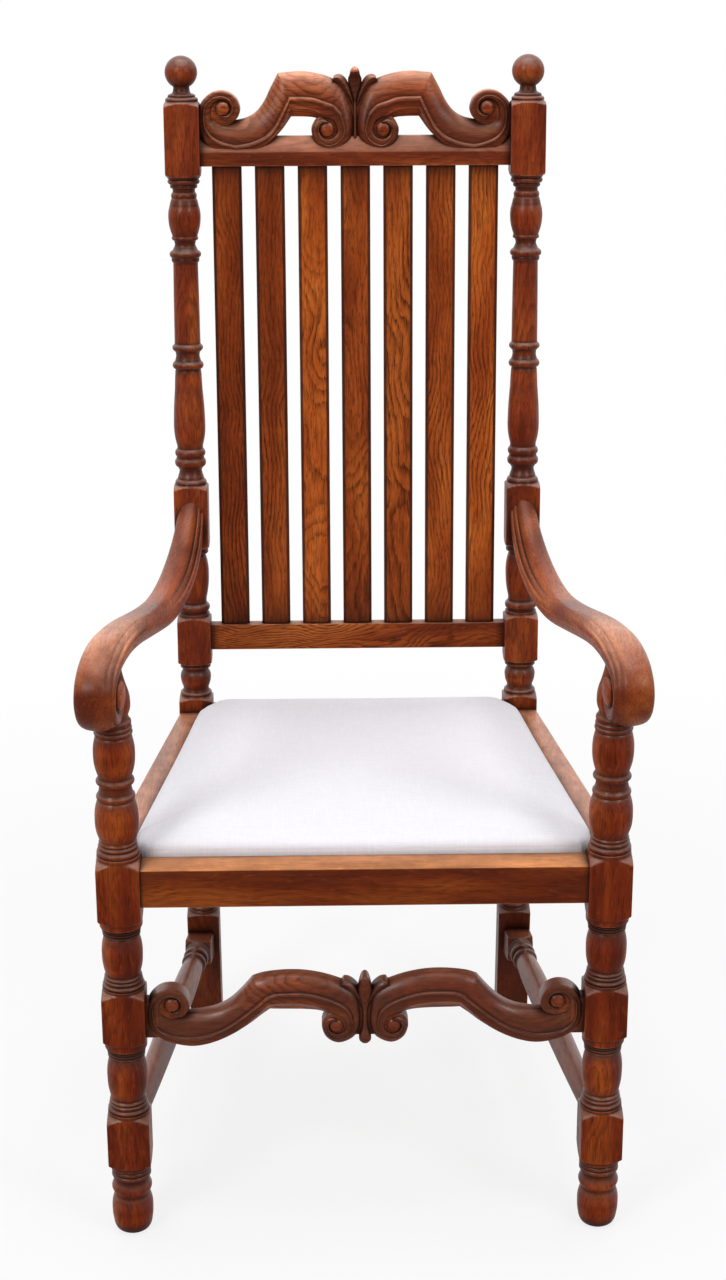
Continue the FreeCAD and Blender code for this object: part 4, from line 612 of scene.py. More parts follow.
RAIL_TOP, LEDGE = 445, 427
front_section = rounded([(-19, RAIL_BASE), (-19, RAIL_TOP), (16, RAIL_TOP), (16, LEDGE), (25, LEDGE),
                         (25, RAIL_BASE)], 1.4)
rear_section = rounded([(15, RAIL_BASE), (15, RAIL_TOP), (-7, RAIL_TOP), (-7, LEDGE), (-16, LEDGE),
                        (-16, RAIL_BASE)], 1.4)
side_section = rounded([(0, RAIL_BASE), (0, RAIL_TOP), (26, RAIL_TOP), (26, LEDGE), (35, LEDGE),
                        (35, RAIL_BASE)], 1.4)
SIDE_FRONT, SIDE_REAR = (277, 23), (216, 420)


def side_rail_at(back):
    share = (back - SIDE_FRONT[1]) / (SIDE_REAR[1] - SIDE_FRONT[1])
    outer = SIDE_FRONT[0] + (SIDE_REAR[0] - SIDE_FRONT[0]) * share
    return [(outer - inset, LEG_LINE + back, height) for inset, height in side_section]


front_rail = prism(lambda x: [(x, LEG_LINE + y, z) for y, z in front_section], (-236, 236), 8)
make_piece("front_seat_rail_planed", [front_rail], rail_oak, ["front_seat_rail"], 30,
           pith=(0, LEG_LINE + 34, 452))
rear_rail = prism(lambda x: [(x, POST_LINE + y, z) for y, z in rear_section], (-178, 178), 8)
make_piece("rear_seat_rail_planed", [rear_rail], rail_oak, ["rear_seat_rail"], 30,
           pith=(0, POST_LINE + 60, 430))
side_rail = prism(side_rail_at, (22, 421), 8)
make_piece("side_seat_rail_right_planed", [side_rail], side_oak, ["side_seat_rail_right"], 30, pith=(200, 0, 398))
make_piece("side_seat_rail_left_planed", [mirrored(side_rail)], side_oak,
           ["side_seat_rail_left"], 30, pith=(-215, 0, 390))


def leaned(x, y, rise):
    """A point of the back: across, forward or back of its middle plane, and up the lean."""
    return (x, POST_LINE + y * math.cos(RAKE) + rise * math.sin(RAKE),
            RAKE_START + rise * math.cos(RAKE) - y * math.sin(RAKE))


flame_oak = oak("FlameOak", "across", [(0.150, 0.0230, 0.0055), (0.290, 0.0560, 0.0110), (0.430, 0.1080, 0.0220)],
                rings=0.98, sway=0.16, worn=0.8, rubbed=(0.46, 0.170, 0.070), tilt=0.17)
low_section = rounded([(-9, 75), (-9, 106), (9, 106), (9, 75)], 1.2)
low_rail = prism(lambda x: [leaned(x, y, rise) for y, rise in low_section], (-178, 178), 8)
make_piece("lower_back_rail_planed", [low_rail], flame_oak, ["lower_back_rail"], 30,
           pith=(30, POST_LINE + 26, 512))


# Back slats: seven flat oak strips with both front edges planed off at a slant, set side by
# side between the lower rail and the crest. One strip is drawn and laid out seven times. The
# strips are darkest on the slants and darker towards both ends; each strip has its own figure.
SLAT_COUNT, SLAT_PITCH, SLAT_LOW, SLAT_HIGH = 7, 49.1, 105.5, 651
SLAT_HALF = [(0, -5), (12.9, -5), (13.3, -4.9), (13.7, -4.6), (16.6, -1.6), (16.9, -1.1), (17, -0.4), (17, 4.6),
             (16.6, 5), (0, 5)]
outline = SLAT_HALF + [(-x, y) for x, y in SLAT_HALF[-2:0:-1]]
slat_oak = oak("SlatOak", "up", [(0.120, 0.0180, 0.0042), (0.205, 0.0330, 0.0062), (0.310, 0.0620, 0.0105)],
               rings=0.90, sway=0.055, polish=0.3)
tree = slat_oak.node_tree
own = add(tree, "ShaderNodeAttribute", {"attribute_name": "light"})
wood = next(node for node in tree.nodes if node.type == "VALTORGB")
bright = ramp(tree, wood.inputs[0].links[0].from_socket,
              [(0.34, (0.280, 0.0470, 0.0075)), (0.50, (0.420, 0.0860, 0.0125)), (0.68, (0.550, 0.1420, 0.0230))])
taken = [link.to_socket for link in wood.outputs[0].links]
mixed_wood = blended(tree, own.outputs["Fac"], wood.outputs[0], bright)
for socket in taken:
    tree.links.new(mixed_wood, socket)


def drawn_loop(name, points):
    """A closed line through points, for a Geometry Nodes tree to sweep or to follow."""
    mesh = bpy.data.meshes.new(name)
    mesh.from_pydata(points, [(n, (n + 1) % len(points)) for n in range(len(points))], [])
    return stood(name, mesh)


slat_profile = drawn_loop("slat_profile", [(x * MM, y * MM, 0) for x, y in outline])
slat_tree = bpy.data.node_groups.new("SlatRow", "GeometryNodeTree")
group_sockets(slat_tree, [("Geometry", "NodeSocketGeometry", None), ("Profile", "NodeSocketObject", None),
                          ("Count", "NodeSocketInt", SLAT_COUNT), ("Pitch", "NodeSocketFloat", SLAT_PITCH * MM),
                          ("Low", "NodeSocketVector", (0, 0, 0)), ("High", "NodeSocketVector", (0, 0, 1)),
                          ("Finish", "NodeSocketMaterial", None)], [("Geometry", "NodeSocketGeometry")])
given = add(slat_tree, "NodeGroupInput")
strip = add(slat_tree, "GeometryNodeCurvePrimitiveLine", Start=given.outputs["Low"], End=given.outputs["High"])
divided = add(slat_tree, "GeometryNodeResampleCurve", Curve=strip.outputs[0], Count=40)
drawn = add(slat_tree, "GeometryNodeObjectInfo", Object=given.outputs["Profile"])
loop = add(slat_tree, "GeometryNodeMeshToCurve", Mesh=drawn.outputs["Geometry"])
swept = add(slat_tree, "GeometryNodeCurveToMesh", {}, Curve=divided.outputs[0], Profile_Curve=loop.outputs[0],
            Fill_Caps=True)
half = reckon(slat_tree, "MULTIPLY", reckon(slat_tree, "SUBTRACT", given.outputs["Count"], 1.0),
              reckon(slat_tree, "MULTIPLY", given.outputs["Pitch"], -0.5))
start = add(slat_tree, "ShaderNodeCombineXYZ", X=half)
pitch = add(slat_tree, "ShaderNodeCombineXYZ", X=given.outputs["Pitch"])
row = add(slat_tree, "GeometryNodeMeshLine", Count=given.outputs["Count"], Start_Location=start.outputs[0],
          Offset=pitch.outputs[0])
laid = add(slat_tree, "GeometryNodeInstanceOnPoints", Points=row.outputs[0], Instance=swept.outputs[0])
real = add(slat_tree, "GeometryNodeRealizeInstances", Geometry=laid.outputs[0])
dressed = add(slat_tree, "GeometryNodeSetMaterial", Geometry=real.outputs[0], Material=given.outputs["Finish"])
answer = add(slat_tree, "NodeGroupOutput")
slat_tree.links.new(dressed.outputs[0], answer.inputs[0])


def settled(piece):
    """An object's mesh with its modifiers worked in."""
    return bpy.data.meshes.new_from_object(piece.evaluated_get(bpy.context.evaluated_depsgraph_get()))


def grown(name, node_tree, values):
    """The plain mesh that a Geometry Nodes tree makes with these inputs."""
    holder = stood(name, bpy.data.meshes.new(name))
    modifier = holder.modifiers.new("Make", "NODES")
    modifier.node_group = node_tree
    for item in node_tree.interface.items_tree:
        if item.in_out == "INPUT" and item.name in values:
            modifier[item.identifier] = values[item.name]
    bpy.context.view_layer.update()
    mesh = settled(holder)
    holder.modifiers.remove(modifier)
    holder.data = mesh
    return holder


slats = grown("back_slats", slat_tree, {
    "Profile": slat_profile, "Finish": slat_oak,
    "Low": Vector(leaned(0, 0, SLAT_LOW)) * MM, "High": Vector(leaned(0, 0, SLAT_HIGH)) * MM,
})
bpy.data.objects.remove(slat_profile)
slats.data.shade_smooth()
slats.data.set_sharp_from_angle(angle=math.radians(24))
# Each strip's pith, across from its middle and back from its face, and how light its wood is.
SLAT_PITHS = [(96, 16), (-88, 12), (6, 44), (-9, 33), (14, 38), (74, 26), (-34, 22)]
SLAT_LIGHT = [0.02, 0.16, 1.0, 0.34, 0.50, 0.58, 0.95]


def points_of(mesh):
    """A mesh's points, in millimetres."""
    flat = np.empty(len(mesh.vertices) * 3)
    mesh.vertices.foreach_get("co", flat)
    return flat.reshape(-1, 3) / MM


points = points_of(slats.data)
number = np.clip(np.round(points[:, 0] / SLAT_PITCH) + SLAT_COUNT // 2, 0, SLAT_COUNT - 1).astype(int)
middle = (number - SLAT_COUNT // 2) * SLAT_PITCH
piths = np.array(SLAT_PITHS, float)[number]
place = np.stack([middle + piths[:, 0], POST_LINE + 12 + piths[:, 1], number * 631.0], axis=1) * MM
mark(slats.data, "pith", place)
# Each strip is darker on the slants and towards both ends.
slant = np.clip((np.abs(points[:, 0] - middle) - 13.2) / 0.6, 0, 1) * 0.86
low_end, high_end = leaned(0, 0, SLAT_LOW)[2], leaned(0, 0, SLAT_HIGH)[2]
ends = np.maximum(np.exp(-(points[:, 2] - low_end) / 26), np.exp(-(high_end - points[:, 2]) / 20)) * 0.7
stain_and_shade = np.maximum(slant, np.clip(ends, 0, 1))
mark(slats.data, "stain_and_shade", stain_and_shade)
mark(slats.data, "light", np.array(SLAT_LIGHT)[number])
finish_piece(slats, "chair_frame", ["back_slat_%d" % n for n in range(1, SLAT_COUNT + 1)])


# The crest: a board sawn and carved as two scrolls that face each other over a bevelled bar.
# Each scroll is one moulding: a full round above, an edge, and a narrow hollow below it, which
# turn the corner at a knee and wind into a volute round a small disc at both ends.
def smooth_line(points, closer=4):
    """Points on a smooth curve through the given ones."""
    points = [np.array(point, float) for point in points]
    points = [2 * points[0] - points[1]] + points + [2 * points[-1] - points[-2]]
    line = []
    for a, b, c, d in zip(points, points[1:], points[2:], points[3:]):
        for step in range(closer):
            t = step / closer
            line.append(0.5 * (2 * b + (c - a) * t + (2 * a - 5 * b + 4 * c - d) * t * t
                               + (3 * b - a - 3 * c + d) * t ** 3))
    line.append(points[-2])
    return line


# Across the moulding: share from the upper edge to the ridge, then from the ridge to the lower
# edge, with how deep the surface lies there, in millimetres. The upper face slopes back from a
# small bead on the ridge; below the ridge stands a plain band, undercut along the arch.
SLOPE = [(0, 15.0), (0.015, 13.4), (0.05, 11.7), (0.11, 9.8), (0.20, 7.9), (0.32, 6.1), (0.46, 4.6), (0.60, 3.5),
         (0.74, 2.8), (0.84, 2.5), (0.885, 2.6), (0.905, 1.9), (0.925, 0.7), (0.96, 0.1), (1, 0.0)]
RIM = [(0.04, 0.3), (0.08, 1.1), (0.14, 1.2), (0.45, 1.3), (0.74, 1.5), (0.90, 2.1), (0.97, 3.1), (1, 4.8)]
UNDERCUT = [(0.04, 0.3), (0.08, 1.1), (0.14, 1.2), (0.32, 1.3), (0.50, 1.7), (0.60, 4.2), (0.78, 7.6), (1, 10.0)]
FULL_WIDTH = 24.0
# Painted shade at those places: in the groove behind the ridge and at the foot of the step.
GROOVE_SHADE = [0, 0, 0, 0, 0, 0, 0, 0.05, 0.30, 0.62, 0.80, 0.62, 0.15, 0, 0, 0.1, 0.70, 0.80, 0.40, 0.12, 0, 0, 0]


def carved(rings, shades):
    """Skin of rings whose last two points lie on the flat back, which is never darkened."""
    points, faces, _ = skin(rings)
    rows = [np.append(np.broadcast_to(shade, len(ring) - 2), (0, 0)) for ring, shade in zip(rings, shades)]
    return points, faces, np.append(np.concatenate(rows), (0, 0))


def moulding(runs, thickness, place):
    """A carved band through runs of (upper edge, ridge, lower edge) stations, each with how far the
    arch is undercut there; the runs meet in a mitre, the back is flat, and the band is painted darker
    away from the arch, with painted shade in its grooves."""
    line = []
    for stations, coves in runs:
        line += smooth_line([sum(station, ()) + (cove,) for station, cove in zip(stations, coves)])[bool(line):]
    rings = []
    stain_and_shade = []
    for entry in line:
        upper, ridge, lower, cove = entry[0:2], entry[2:4], entry[4:6], entry[6]
        # Painted shade in the grooves, and the band darker away from the arch.
        stain_and_shade.append(np.maximum(GROOVE_SHADE, 0.50 * (1 - min(1.0, max(0.0, cove)))))
        full = min(1.0, np.linalg.norm(ridge - upper) / FULL_WIDTH + 0.22)
        loop = [(upper + (ridge - upper) * s, depth * full) for s, depth in SLOPE]
        for (s, rim), (under, deep) in zip(RIM, UNDERCUT):
            loop.append((ridge + (lower - ridge) * (s + (under - s) * cove), rim + (deep - rim) * cove))
        ring = [place(point[0], depth, point[1]) for point, depth in loop]
        ring += [place(lower[0], thickness, lower[1]), place(upper[0], thickness, upper[1])]
        rings.append(np.array(ring))
    return carved(rings, stain_and_shade)


# Volutes: turn from straight down through outwards, or from straight up through inwards, with
# the radii of the three lines about the disc.
OUTER_VOLUTE = [(372, 7.4, 7.8, 8.3), (356, 7.6, 8.6, 11.4), (340, 7.8, 9.4, 15.4), (320, 8.0, 10.2, 18.2),
                (295, 8.2, 10.8, 19.2), (265, 8.5, 11.4, 19.3), (225, 8.9, 12.5, 19.4), (180, 9.5, 13.6, 20.2),
                (135, 10.3, 16.2, 22.8), (90, 10.9, 21.3, 28.0), (45, 11.8, 29.8, 38.0), (15, 12.8, 37.0, 47.0),
                (-14, 14.4, 44.3, 52.0)]
INNER_VOLUTE = [(50, 37.8, 21.2, 12.0), (93, 29.5, 19.9, 11.9), (130, 28.0, 19.4, 11.6), (173, 25.6, 18.4, 10.8),
                (215, 21.2, 15.2, 9.7), (265, 18.0, 12.4, 8.8), (300, 16.6, 10.6, 8.3), (335, 13.6, 9.4, 8.0),
                (360, 9.6, 8.4, 7.8), (372, 8.2, 7.8, 7.4)]


def volute(eye, turns, scale, outer):
    """Stations of a moulding as it winds round the disc at an eye."""
    stations = []
    for angle, *radii in turns:
        a = math.radians(angle)
        way = (math.sin(a), -math.cos(a)) if outer else (-math.sin(a), math.cos(a))
        stations.append(tuple((eye[0] + way[0] * r * scale, eye[1] + way[1] * r * scale) for r in radii))
    return stations


def disc(eye, radius, near, thickness, place, dome=1.6):
    """A round boss with a soft domed face."""
    rings = []
    for reach, depth in ((0.0001, -dome), (0.4, -dome * 0.8), (0.7, -dome * 0.35), (0.9, 0.5), (1, 1.8)):
        rings.append((reach, near + depth))
    rings.append((1, thickness))
    loops = []
    for reach, depth in rings:
        loops.append(np.array([place(eye[0] + radius * reach * math.cos(a), depth,
                                     eye[1] + radius * reach * math.sin(a))
                               for a in np.linspace(0, 2 * math.pi, 32, endpoint=False)]))
    return skin(loops)


def bud(rows, place, thickness, pale_tip):
    """A small upright bud from (height, half width, depth of its front) rows, flat behind."""
    loops = []
    for height, wide, near in smooth_line(rows, 3):
        wide = max(wide, 0.05)
        loop = [place(wide * math.cos(a), near + (1 - math.sin(a)) * min(wide, 5.0) * 0.8, height)
                for a in np.linspace(0, math.pi, 13)]
        loops.append(np.array(loop + [place(-wide, thickness, height), place(wide, thickness, height)]))
    share = np.linspace(0, 1, len(loops))
    # The bud is painted dark as shade, except its tip where pale_tip is set.
    return carved(loops, np.where(share > 0.70, 0.0, 0.85) if pale_tip else 0.45 + 0 * share)


def leaf(rows, place, near, rise, thickness):
    """A carved petal: rows of (outer edge, rib, inner edge) points from its root to its tip."""
    rings = []
    for entry in smooth_line([sum(row, ()) for row in rows], 3):
        outer, rib, inner = entry[0:2], entry[2:4], entry[4:6]
        loop = [place(outer[0], near + rise, outer[1])]
        for start, end, fall in ((outer, rib, ((0.3, 0.62), (0.65, 0.2), (1, 0))),
                                 (rib, inner, ((0.35, 0.2), (0.7, 0.62), (1, 1)))):
            for s, depth in fall:
                point = start + (end - start) * s
                loop.append(place(point[0], near + rise * depth, point[1]))
        loop += [place(inner[0], thickness, inner[1]), place(outer[0], thickness, outer[1])]
        rings.append(np.array(loop))
    # The petal is painted dark as shade, most at its root.
    return carved(rings, np.linspace(0.85, 0.6, len(rings)))


def plate(outline, front, back, place):
    """A flat piece of the board between two depths, from its outline; its front is painted dark as shade."""
    return skin([np.array([place(x, depth, z) for x, z in outline]) for depth in (front, back)], (0.7, 0.0))


carved_oak = oak("CarvedOak", "across", [(0.150, 0.0225, 0.0062), (0.260, 0.0450, 0.0110), (0.400, 0.0930, 0.0220)],
                 rings=0.85, sway=0.07, rubbed=(0.76, 0.295, 0.155), worn=1.0, polish=0.95)
stretcher_oak = oak("StretcherOak", "across",
                    [(0.110, 0.0130, 0.0032), (0.190, 0.0300, 0.0062), (0.300, 0.0660, 0.0130)], rings=0.85,
                    sway=0.07, rubbed=(0.40, 0.130, 0.075), worn=0.5, polish=1.0, gleam=0.28)


def crest_place(x, depth, z):
    """A point of the crest: across, behind its front plane, and its height as the chair stands."""
    return leaned(x, depth - 11.5, (z - RAKE_START - 0.8) / math.cos(RAKE))


CREST_EYE, CREST_INNER_EYE = (150, 1158.5), (32, 1135.2)
CREST_KNEE = ((87.5, 1197.2), (73.7, 1168.7), (72.7, 1149.4))
crest_outer = volute(CREST_EYE, OUTER_VOLUTE, 1.0, True) + [
    ((133, 1146.0), (130, 1115.4), (130, 1107.2)), ((122, 1149.0), (117, 1118.0), (115, 1111.0)),
    ((112, 1155.5), (103, 1124.0), (100, 1119.0)), ((103.5, 1166.5), (93, 1132.5), (90, 1128.0)),
    ((96.5, 1180.5), (84.5, 1146.5), (82, 1136.5)), CREST_KNEE]
crest_inner = [CREST_KNEE, ((78, 1198.2), (66, 1168.3), (66, 1149.4)), ((62, 1199.2), (56, 1168.0), (57, 1149.2)),
               ((47, 1197.6), (46, 1166.8), (48.5, 1148.6)), ((33, 1194.2), (34, 1162.4), (41, 1147.2)),
               ((19.5, 1188.0), (25, 1159.4), (34.5, 1147.2)), ((10.5, 1178.5), (17.8, 1152.5), (26.5, 1146.6))]
crest_inner += volute(CREST_INNER_EYE, INNER_VOLUTE, 1.0, False)
crest_parts = []
for part in (
    moulding([(crest_outer, [0] * (len(crest_outer) - 3) + [0.15, 0.5, 1]),
              (crest_inner, [1, 1, 1, 0.9, 0.55, 0.2] + [0] * (len(crest_inner) - 6))], 20.3, crest_place),
    disc(CREST_EYE, 8.2, 1.6, 19.4, crest_place), disc(CREST_INNER_EYE, 8.2, 1.6, 19.4, crest_place),
    disc(CREST_EYE, 18.5, 5.6, 19.8, crest_place, 0), disc(CREST_INNER_EYE, 17.0, 4.6, 19.8, crest_place, 0),
    leaf([((0.5, 1163), (2, 1162), (3.5, 1161)), ((2.5, 1173), (4.8, 1171), (7.5, 1168)),
          ((6, 1183), (8.8, 1180.5), (12.5, 1176)), ((9.8, 1190.5), (13, 1187), (17, 1181.5)),
          ((14.5, 1195), (17, 1191), (21, 1185.5)), ((19.5, 1196), (21, 1192.6), (24, 1187.5)),
          ((23.5, 1194.6), (24.2, 1192.2), (25.6, 1189))], crest_place, 5.6, 4.6, 19.6),
    plate([(-0.5, 1108), (-0.5, 1182), (7, 1178), (26, 1188), (36, 1180), (24, 1158), (18, 1140), (20, 1108)],
          9.0, 20.1, crest_place),
    plate([(150, 1100), (150, 1132), (176.9, 1132), (176.9, 1100)], 8.0, 20.1, crest_place),
):
    crest_parts += [part, mirrored(part)]
crest_parts.append(bud([(1164, 0.3, 8.0), (1168, 1.4, 7.0), (1174, 3.4, 6.2), (1181, 6.0, 6.0), (1187, 7.6, 6.0),
                        (1191.5, 7.6, 5.6), (1194.5, 6.4, 3.0), (1197, 5.6, 0.4), (1199.5, 5.2, 0.1),
                        (1201.8, 4.2, 0.9), (1203.6, 2.4, 2.8), (1204.6, 0.2, 5.0)], crest_place, 16, True))
crest_parts.append(bud([(1107, 6.5, 7.0), (1112, 4.6, 6.6), (1118, 2.8, 6.2), (1128, 1.8, 6.4), (1150, 1.4, 6.8),
                        (1166, 1.0, 7.6)], crest_place, 16, False))
bar_section = rounded([(-12, 650.4), (-12, 666.0), (-3.2, 683.6), (9, 683.6), (9, 650.4)], 1.2)
bar_points, bar_faces, _ = prism(lambda x: [leaned(x, y, rise) for y, rise in bar_section], (-178, 178), 8)
crest_parts.append((bar_points, bar_faces, np.full(len(bar_points), 0.25)))
make_piece("crest_rail_carved", crest_parts, carved_oak, ["crest_rail"], 32,
           pith=(0, 310, 1120))


# The front stretcher: the crest's scrolls again, larger and flatter, sawn from one board between
# the front legs, with a knob and two petals over and under the middle.
def stretcher_place(x, depth, z):
    """A point of the stretcher: across, behind its front plane, and its height."""
    return x, LEG_LINE - 11 + depth, z


LOW_EYE, LOW_INNER_EYE = (206.6, 280), (31, 253.5)
LOW_KNEE = ((120.5, 306), (104.4, 288), (102, 271.6))
low_outer = volute(LOW_EYE, OUTER_VOLUTE[:-2], 0.95, True) + [
    ((212, 268.5), (218.6, 247.6), (219, 240.0)), ((204, 266.6), (202, 239.6), (203, 233.4)),
    ((190, 266.0), (184, 238.6), (184, 230.6)), ((174, 267.6), (166, 243.2), (164, 234.6)),
    ((159, 271.4), (148, 252.0), (144, 243.2)), ((145.5, 279.0), (131, 265.0), (125.5, 254.6)),
    ((133, 291.0), (116, 277.5), (111.5, 265.4)), LOW_KNEE]
low_inner = [LOW_KNEE, ((108, 310), (95, 291.6), (94, 271.2)), ((88, 312.4), (79, 292.2), (79, 271.0)),
             ((68, 312.2), (63, 291.4), (64, 270.8)), ((48, 308.8), (47, 287.6), (51, 270.4)),
             ((30, 303.0), (32, 281.6), (41, 268.4)), ((15.5, 296.0), (21.5, 274.8), (32, 266.4)),
             ((5.5, 284.5), (15.6, 266.0), (24.5, 263.0))]
low_inner += volute(LOW_INNER_EYE, INNER_VOLUTE[1:], 0.87, False)
low_parts = []
for part in (
    moulding([(low_outer, [0] * (len(low_outer) - 4) + [0.1, 0.3, 0.6, 1]),
              (low_inner, [1, 1, 1, 0.9, 0.6, 0.3, 0.1] + [0] * (len(low_inner) - 7))], 22, stretcher_place),
    disc(LOW_EYE, 8.6, 1.6, 21.1, stretcher_place), disc(LOW_INNER_EYE, 8.0, 1.6, 21.1, stretcher_place),
    disc(LOW_EYE, 17.5, 4.4, 21.5, stretcher_place, 0), disc(LOW_INNER_EYE, 15.5, 3.4, 21.5, stretcher_place, 0),
    leaf([((0.5, 276), (2.5, 275), (5, 273)), ((3, 287), (5.5, 284.5), (9, 281)),
          ((7.5, 296), (10.5, 293), (14.5, 288)), ((12.5, 301.5), (15.5, 298), (20, 293)),
          ((17.5, 304.6), (20, 301.2), (24, 296.5)), ((22.5, 305.2), (24, 302.2), (27, 298.5))],
         stretcher_place, 5.2, 4.2, 21.3),
    plate([(-0.5, 240), (-0.5, 292), (8, 288), (22, 296), (26, 286), (18, 268), (16, 254), (14, 240)],
          8.0, 21.8, stretcher_place),
):
    low_parts += [part, mirrored(part)]
low_parts.append(bud([(262, 2.4, 5.8), (270, 3.0, 5.2), (279, 4.6, 4.2), (288, 6.6, 3.4), (295, 7.2, 2.6),
                      (301, 6.4, 1.4), (305, 5.4, 0.6), (308, 4.6, 0.5), (310.6, 3.4, 1.5), (312.2, 1.8, 3.2),
                      (312.8, 0.3, 5.0)], stretcher_place, 18, False))
low_parts.append(bud([(230.6, 0.4, 6.0), (231.6, 3.4, 3.0), (234.5, 6.0, 1.2), (238.5, 6.6, 0.8), (243, 5.2, 2.0),
                      (248, 3.8, 4.2), (256, 2.8, 5.6), (268, 2.6, 5.8)], stretcher_place, 18, False))
tenon_end = prism(lambda x: [(x, LEG_LINE + y, z) for y, z in
                             rounded([(-9, 242), (-9, 284), (10.5, 284), (10.5, 242)], 1.0)], (222, 236))
low_parts += [tenon_end, mirrored(tenon_end)]
make_piece("front_stretcher_carved", low_parts, stretcher_oak, ["front_stretcher"], 32,
           pith=(0, LEG_LINE + 48, 262))


# Side stretchers: long turned bars from the lowest square of the front leg to the rear leg,
# thin in front, fuller towards the back, with two collars before a square end.
SIDE_BAR = [
    (8, 9.9, 0), (23, 10.4, 0), (40, 11.4, 0.1), (190, 14.2, 0.3), (330, 14.6, 0.3), (372, 13.4, 0.2),
    (388, 12.0, 0), (390, 13.4, 0), (397, 13.6, 1.6), (399, 12.0, 0), (402, 12.0, 0), (403, 13.8, 0),
    (411, 14.0, 1.7), (412.5, 13.0, 0), (419, 15.4, -0.6), (421, 15.8, 0), (426, 24, 0.8), (450, 24, 0),
]
SIDE_BAR_LEVEL = 120


def side_bar_path(run):
    """The bar's axis: from the front leg's back towards the foot of the rear post."""
    foot_y = AXIS_DEPTH + (KICK_TOP - SIDE_BAR_LEVEL) * math.tan(KICK)
    swing = math.atan2(LEG_SPREAD - POST_SPREAD, foot_y)
    along = np.array((-math.sin(swing), math.cos(swing), 0))
    start = np.array((LEG_SPREAD, LEG_LINE, SIDE_BAR_LEVEL))
    return start + along * run, np.array((math.cos(swing), math.sin(swing), 0)), np.array((0, 0, 1.0))


bar_oak = oak("BarOak", "deep", RAIL_SHADES, rings=0.5, worn=0.5, rubbed=(0.28, 0.095, 0.060), polish=0.8, gleam=0.22)
side_bar = skin(*turned_rings(SIDE_BAR, 16.0, side_bar_path))
make_piece("side_stretcher_right_turned", [side_bar], bar_oak, ["side_stretcher_right"],
           pith=(262, 0, 72))
make_piece("side_stretcher_left_turned", [mirrored(side_bar)], bar_oak, ["side_stretcher_left"], pith=(-218, 0, 78))


# Arms: sawn from thick oak to a long double sweep, the top rounded over for the hand with a bead
# along both edges, and the front rolled under into a scroll with a turned button on each side.
ARM_SPLAY = math.atan2(65, AXIS_DEPTH)
ARM_OVER = [(447, 709), (425, 689), (400, 672.5), (372, 660.5), (338, 652), (300, 648), (262, 649.5), (225, 655),
            (185, 663), (145, 672), (105, 681), (70, 687.5), (40, 691.5), (15, 693.5), (-8, 692.5), (-30, 688),
            (-48, 679), (-59.5, 665), (-63.6, 648), (-61, 631), (-51, 617.5), (-36, 610), (-21, 610.5), (-8, 617)]
ARM_UNDER = [(447, 668), (437, 655), (415, 641), (388, 631), (350, 623.5), (308, 620.5), (266, 622), (228, 627),
             (188, 635.5), (148, 644.5), (108, 653.5), (74, 660.5), (42, 665.5), (18, 667), (-4, 666.5),
             (-20, 664), (-31, 661), (-40, 656.5), (-44.5, 648), (-42, 640), (-36, 635), (-29, 633.5), (-22, 636),
             (-16, 641)]
ARM_WIDTHS = [31, 33, 35.5, 37.5, 38.5, 39, 39.5, 40, 40, 40.5, 41, 41.5, 42, 42.5, 43, 43, 43, 43, 43, 42.5, 42, 41,
              40, 39]
# The section: across as a share of half the width, outer side first, and up as a share from
# underside to top. The outer side is one round; a hollow and a double bead run along the inner.
ARM_SECTION = [(0, 0), (0.45, 0.0), (0.70, 0.03), (0.86, 0.11), (0.945, 0.24), (0.985, 0.38), (1.0, 0.52),
               (0.99, 0.63), (0.955, 0.73), (0.90, 0.81), (0.80, 0.885), (0.66, 0.94), (0.48, 0.978), (0.25, 0.998),
               (0, 1.0), (-0.20, 0.982), (-0.34, 0.940), (-0.43, 0.885), (-0.49, 0.835), (-0.525, 0.795),
               (-0.555, 0.775), (-0.59, 0.785), (-0.63, 0.790), (-0.68, 0.780), (-0.735, 0.750), (-0.78, 0.705),
               (-0.81, 0.665), (-0.84, 0.650), (-0.875, 0.665), (-0.92, 0.670), (-0.965, 0.645), (-0.99, 0.60),
               (-1.0, 0.53), (-0.985, 0.44), (-0.94, 0.27), (-0.86, 0.12), (-0.70, 0.03), (-0.45, 0.0)]


def arm_hollow(u, v):
    """How much shade is painted at a place on the section: most in the two grooves of the inner side."""
    if u > -0.5 or v < 0.5:
        return 0.0
    return 0.75 if u > -0.60 or -0.87 < u < -0.79 else 0.0 if u < -0.87 else 0.42


# Painted shade on the inner side of the section, where it turns inward and down.
ARM_GROOVE_SHADE = np.array([arm_hollow(u, v) for u, v in ARM_SECTION])
# Along the arm, at the same places: how far the hollow and bead run out, how much darker the wood
# is painted there, and how much hands have worn the top, which is also painted paler as sheen.
ARM_PLAIN = [0.3, 0.1, 0, 0, 0.05, 0.25, 0.6, 0.9, 1.0, 1.0, 0.9, 0.75, 0.6, 0.5, 0.4, 0.35, 0.3, 0.3, 0.3, 0.3, 0.3,
             0.3, 0.3, 0.3]
ARM_DARK = [0.5, 0.35, 0.2, 0.1, 0.02, 0.0, 0.08, 0.22, 0.32, 0.30, 0.2, 0.08, 0, 0, 0.05, 0.15, 0.25, 0.35, 0.42,
            0.5, 0.55, 0.6, 0.6, 0.6]
ARM_HANDLED_AND_SHEEN = [0.05, 0.1, 0.15, 0.15, 0.15, 0.15, 0.15, 0.12, 0.10, 0.2, 0.45, 0.75, 0.9, 0.9, 0.75, 0.5, 0.3, 0.2,
               0.15, 0.1, 0, 0, 0, 0]


def arm_place(x, along, z):
    """A point of the right arm: outwards, back from the leg along the splay, and its height."""
    return np.array((262 - math.sin(ARM_SPLAY) * along + math.cos(ARM_SPLAY) * x,
                     LEG_LINE + math.cos(ARM_SPLAY) * along + math.sin(ARM_SPLAY) * x, z))


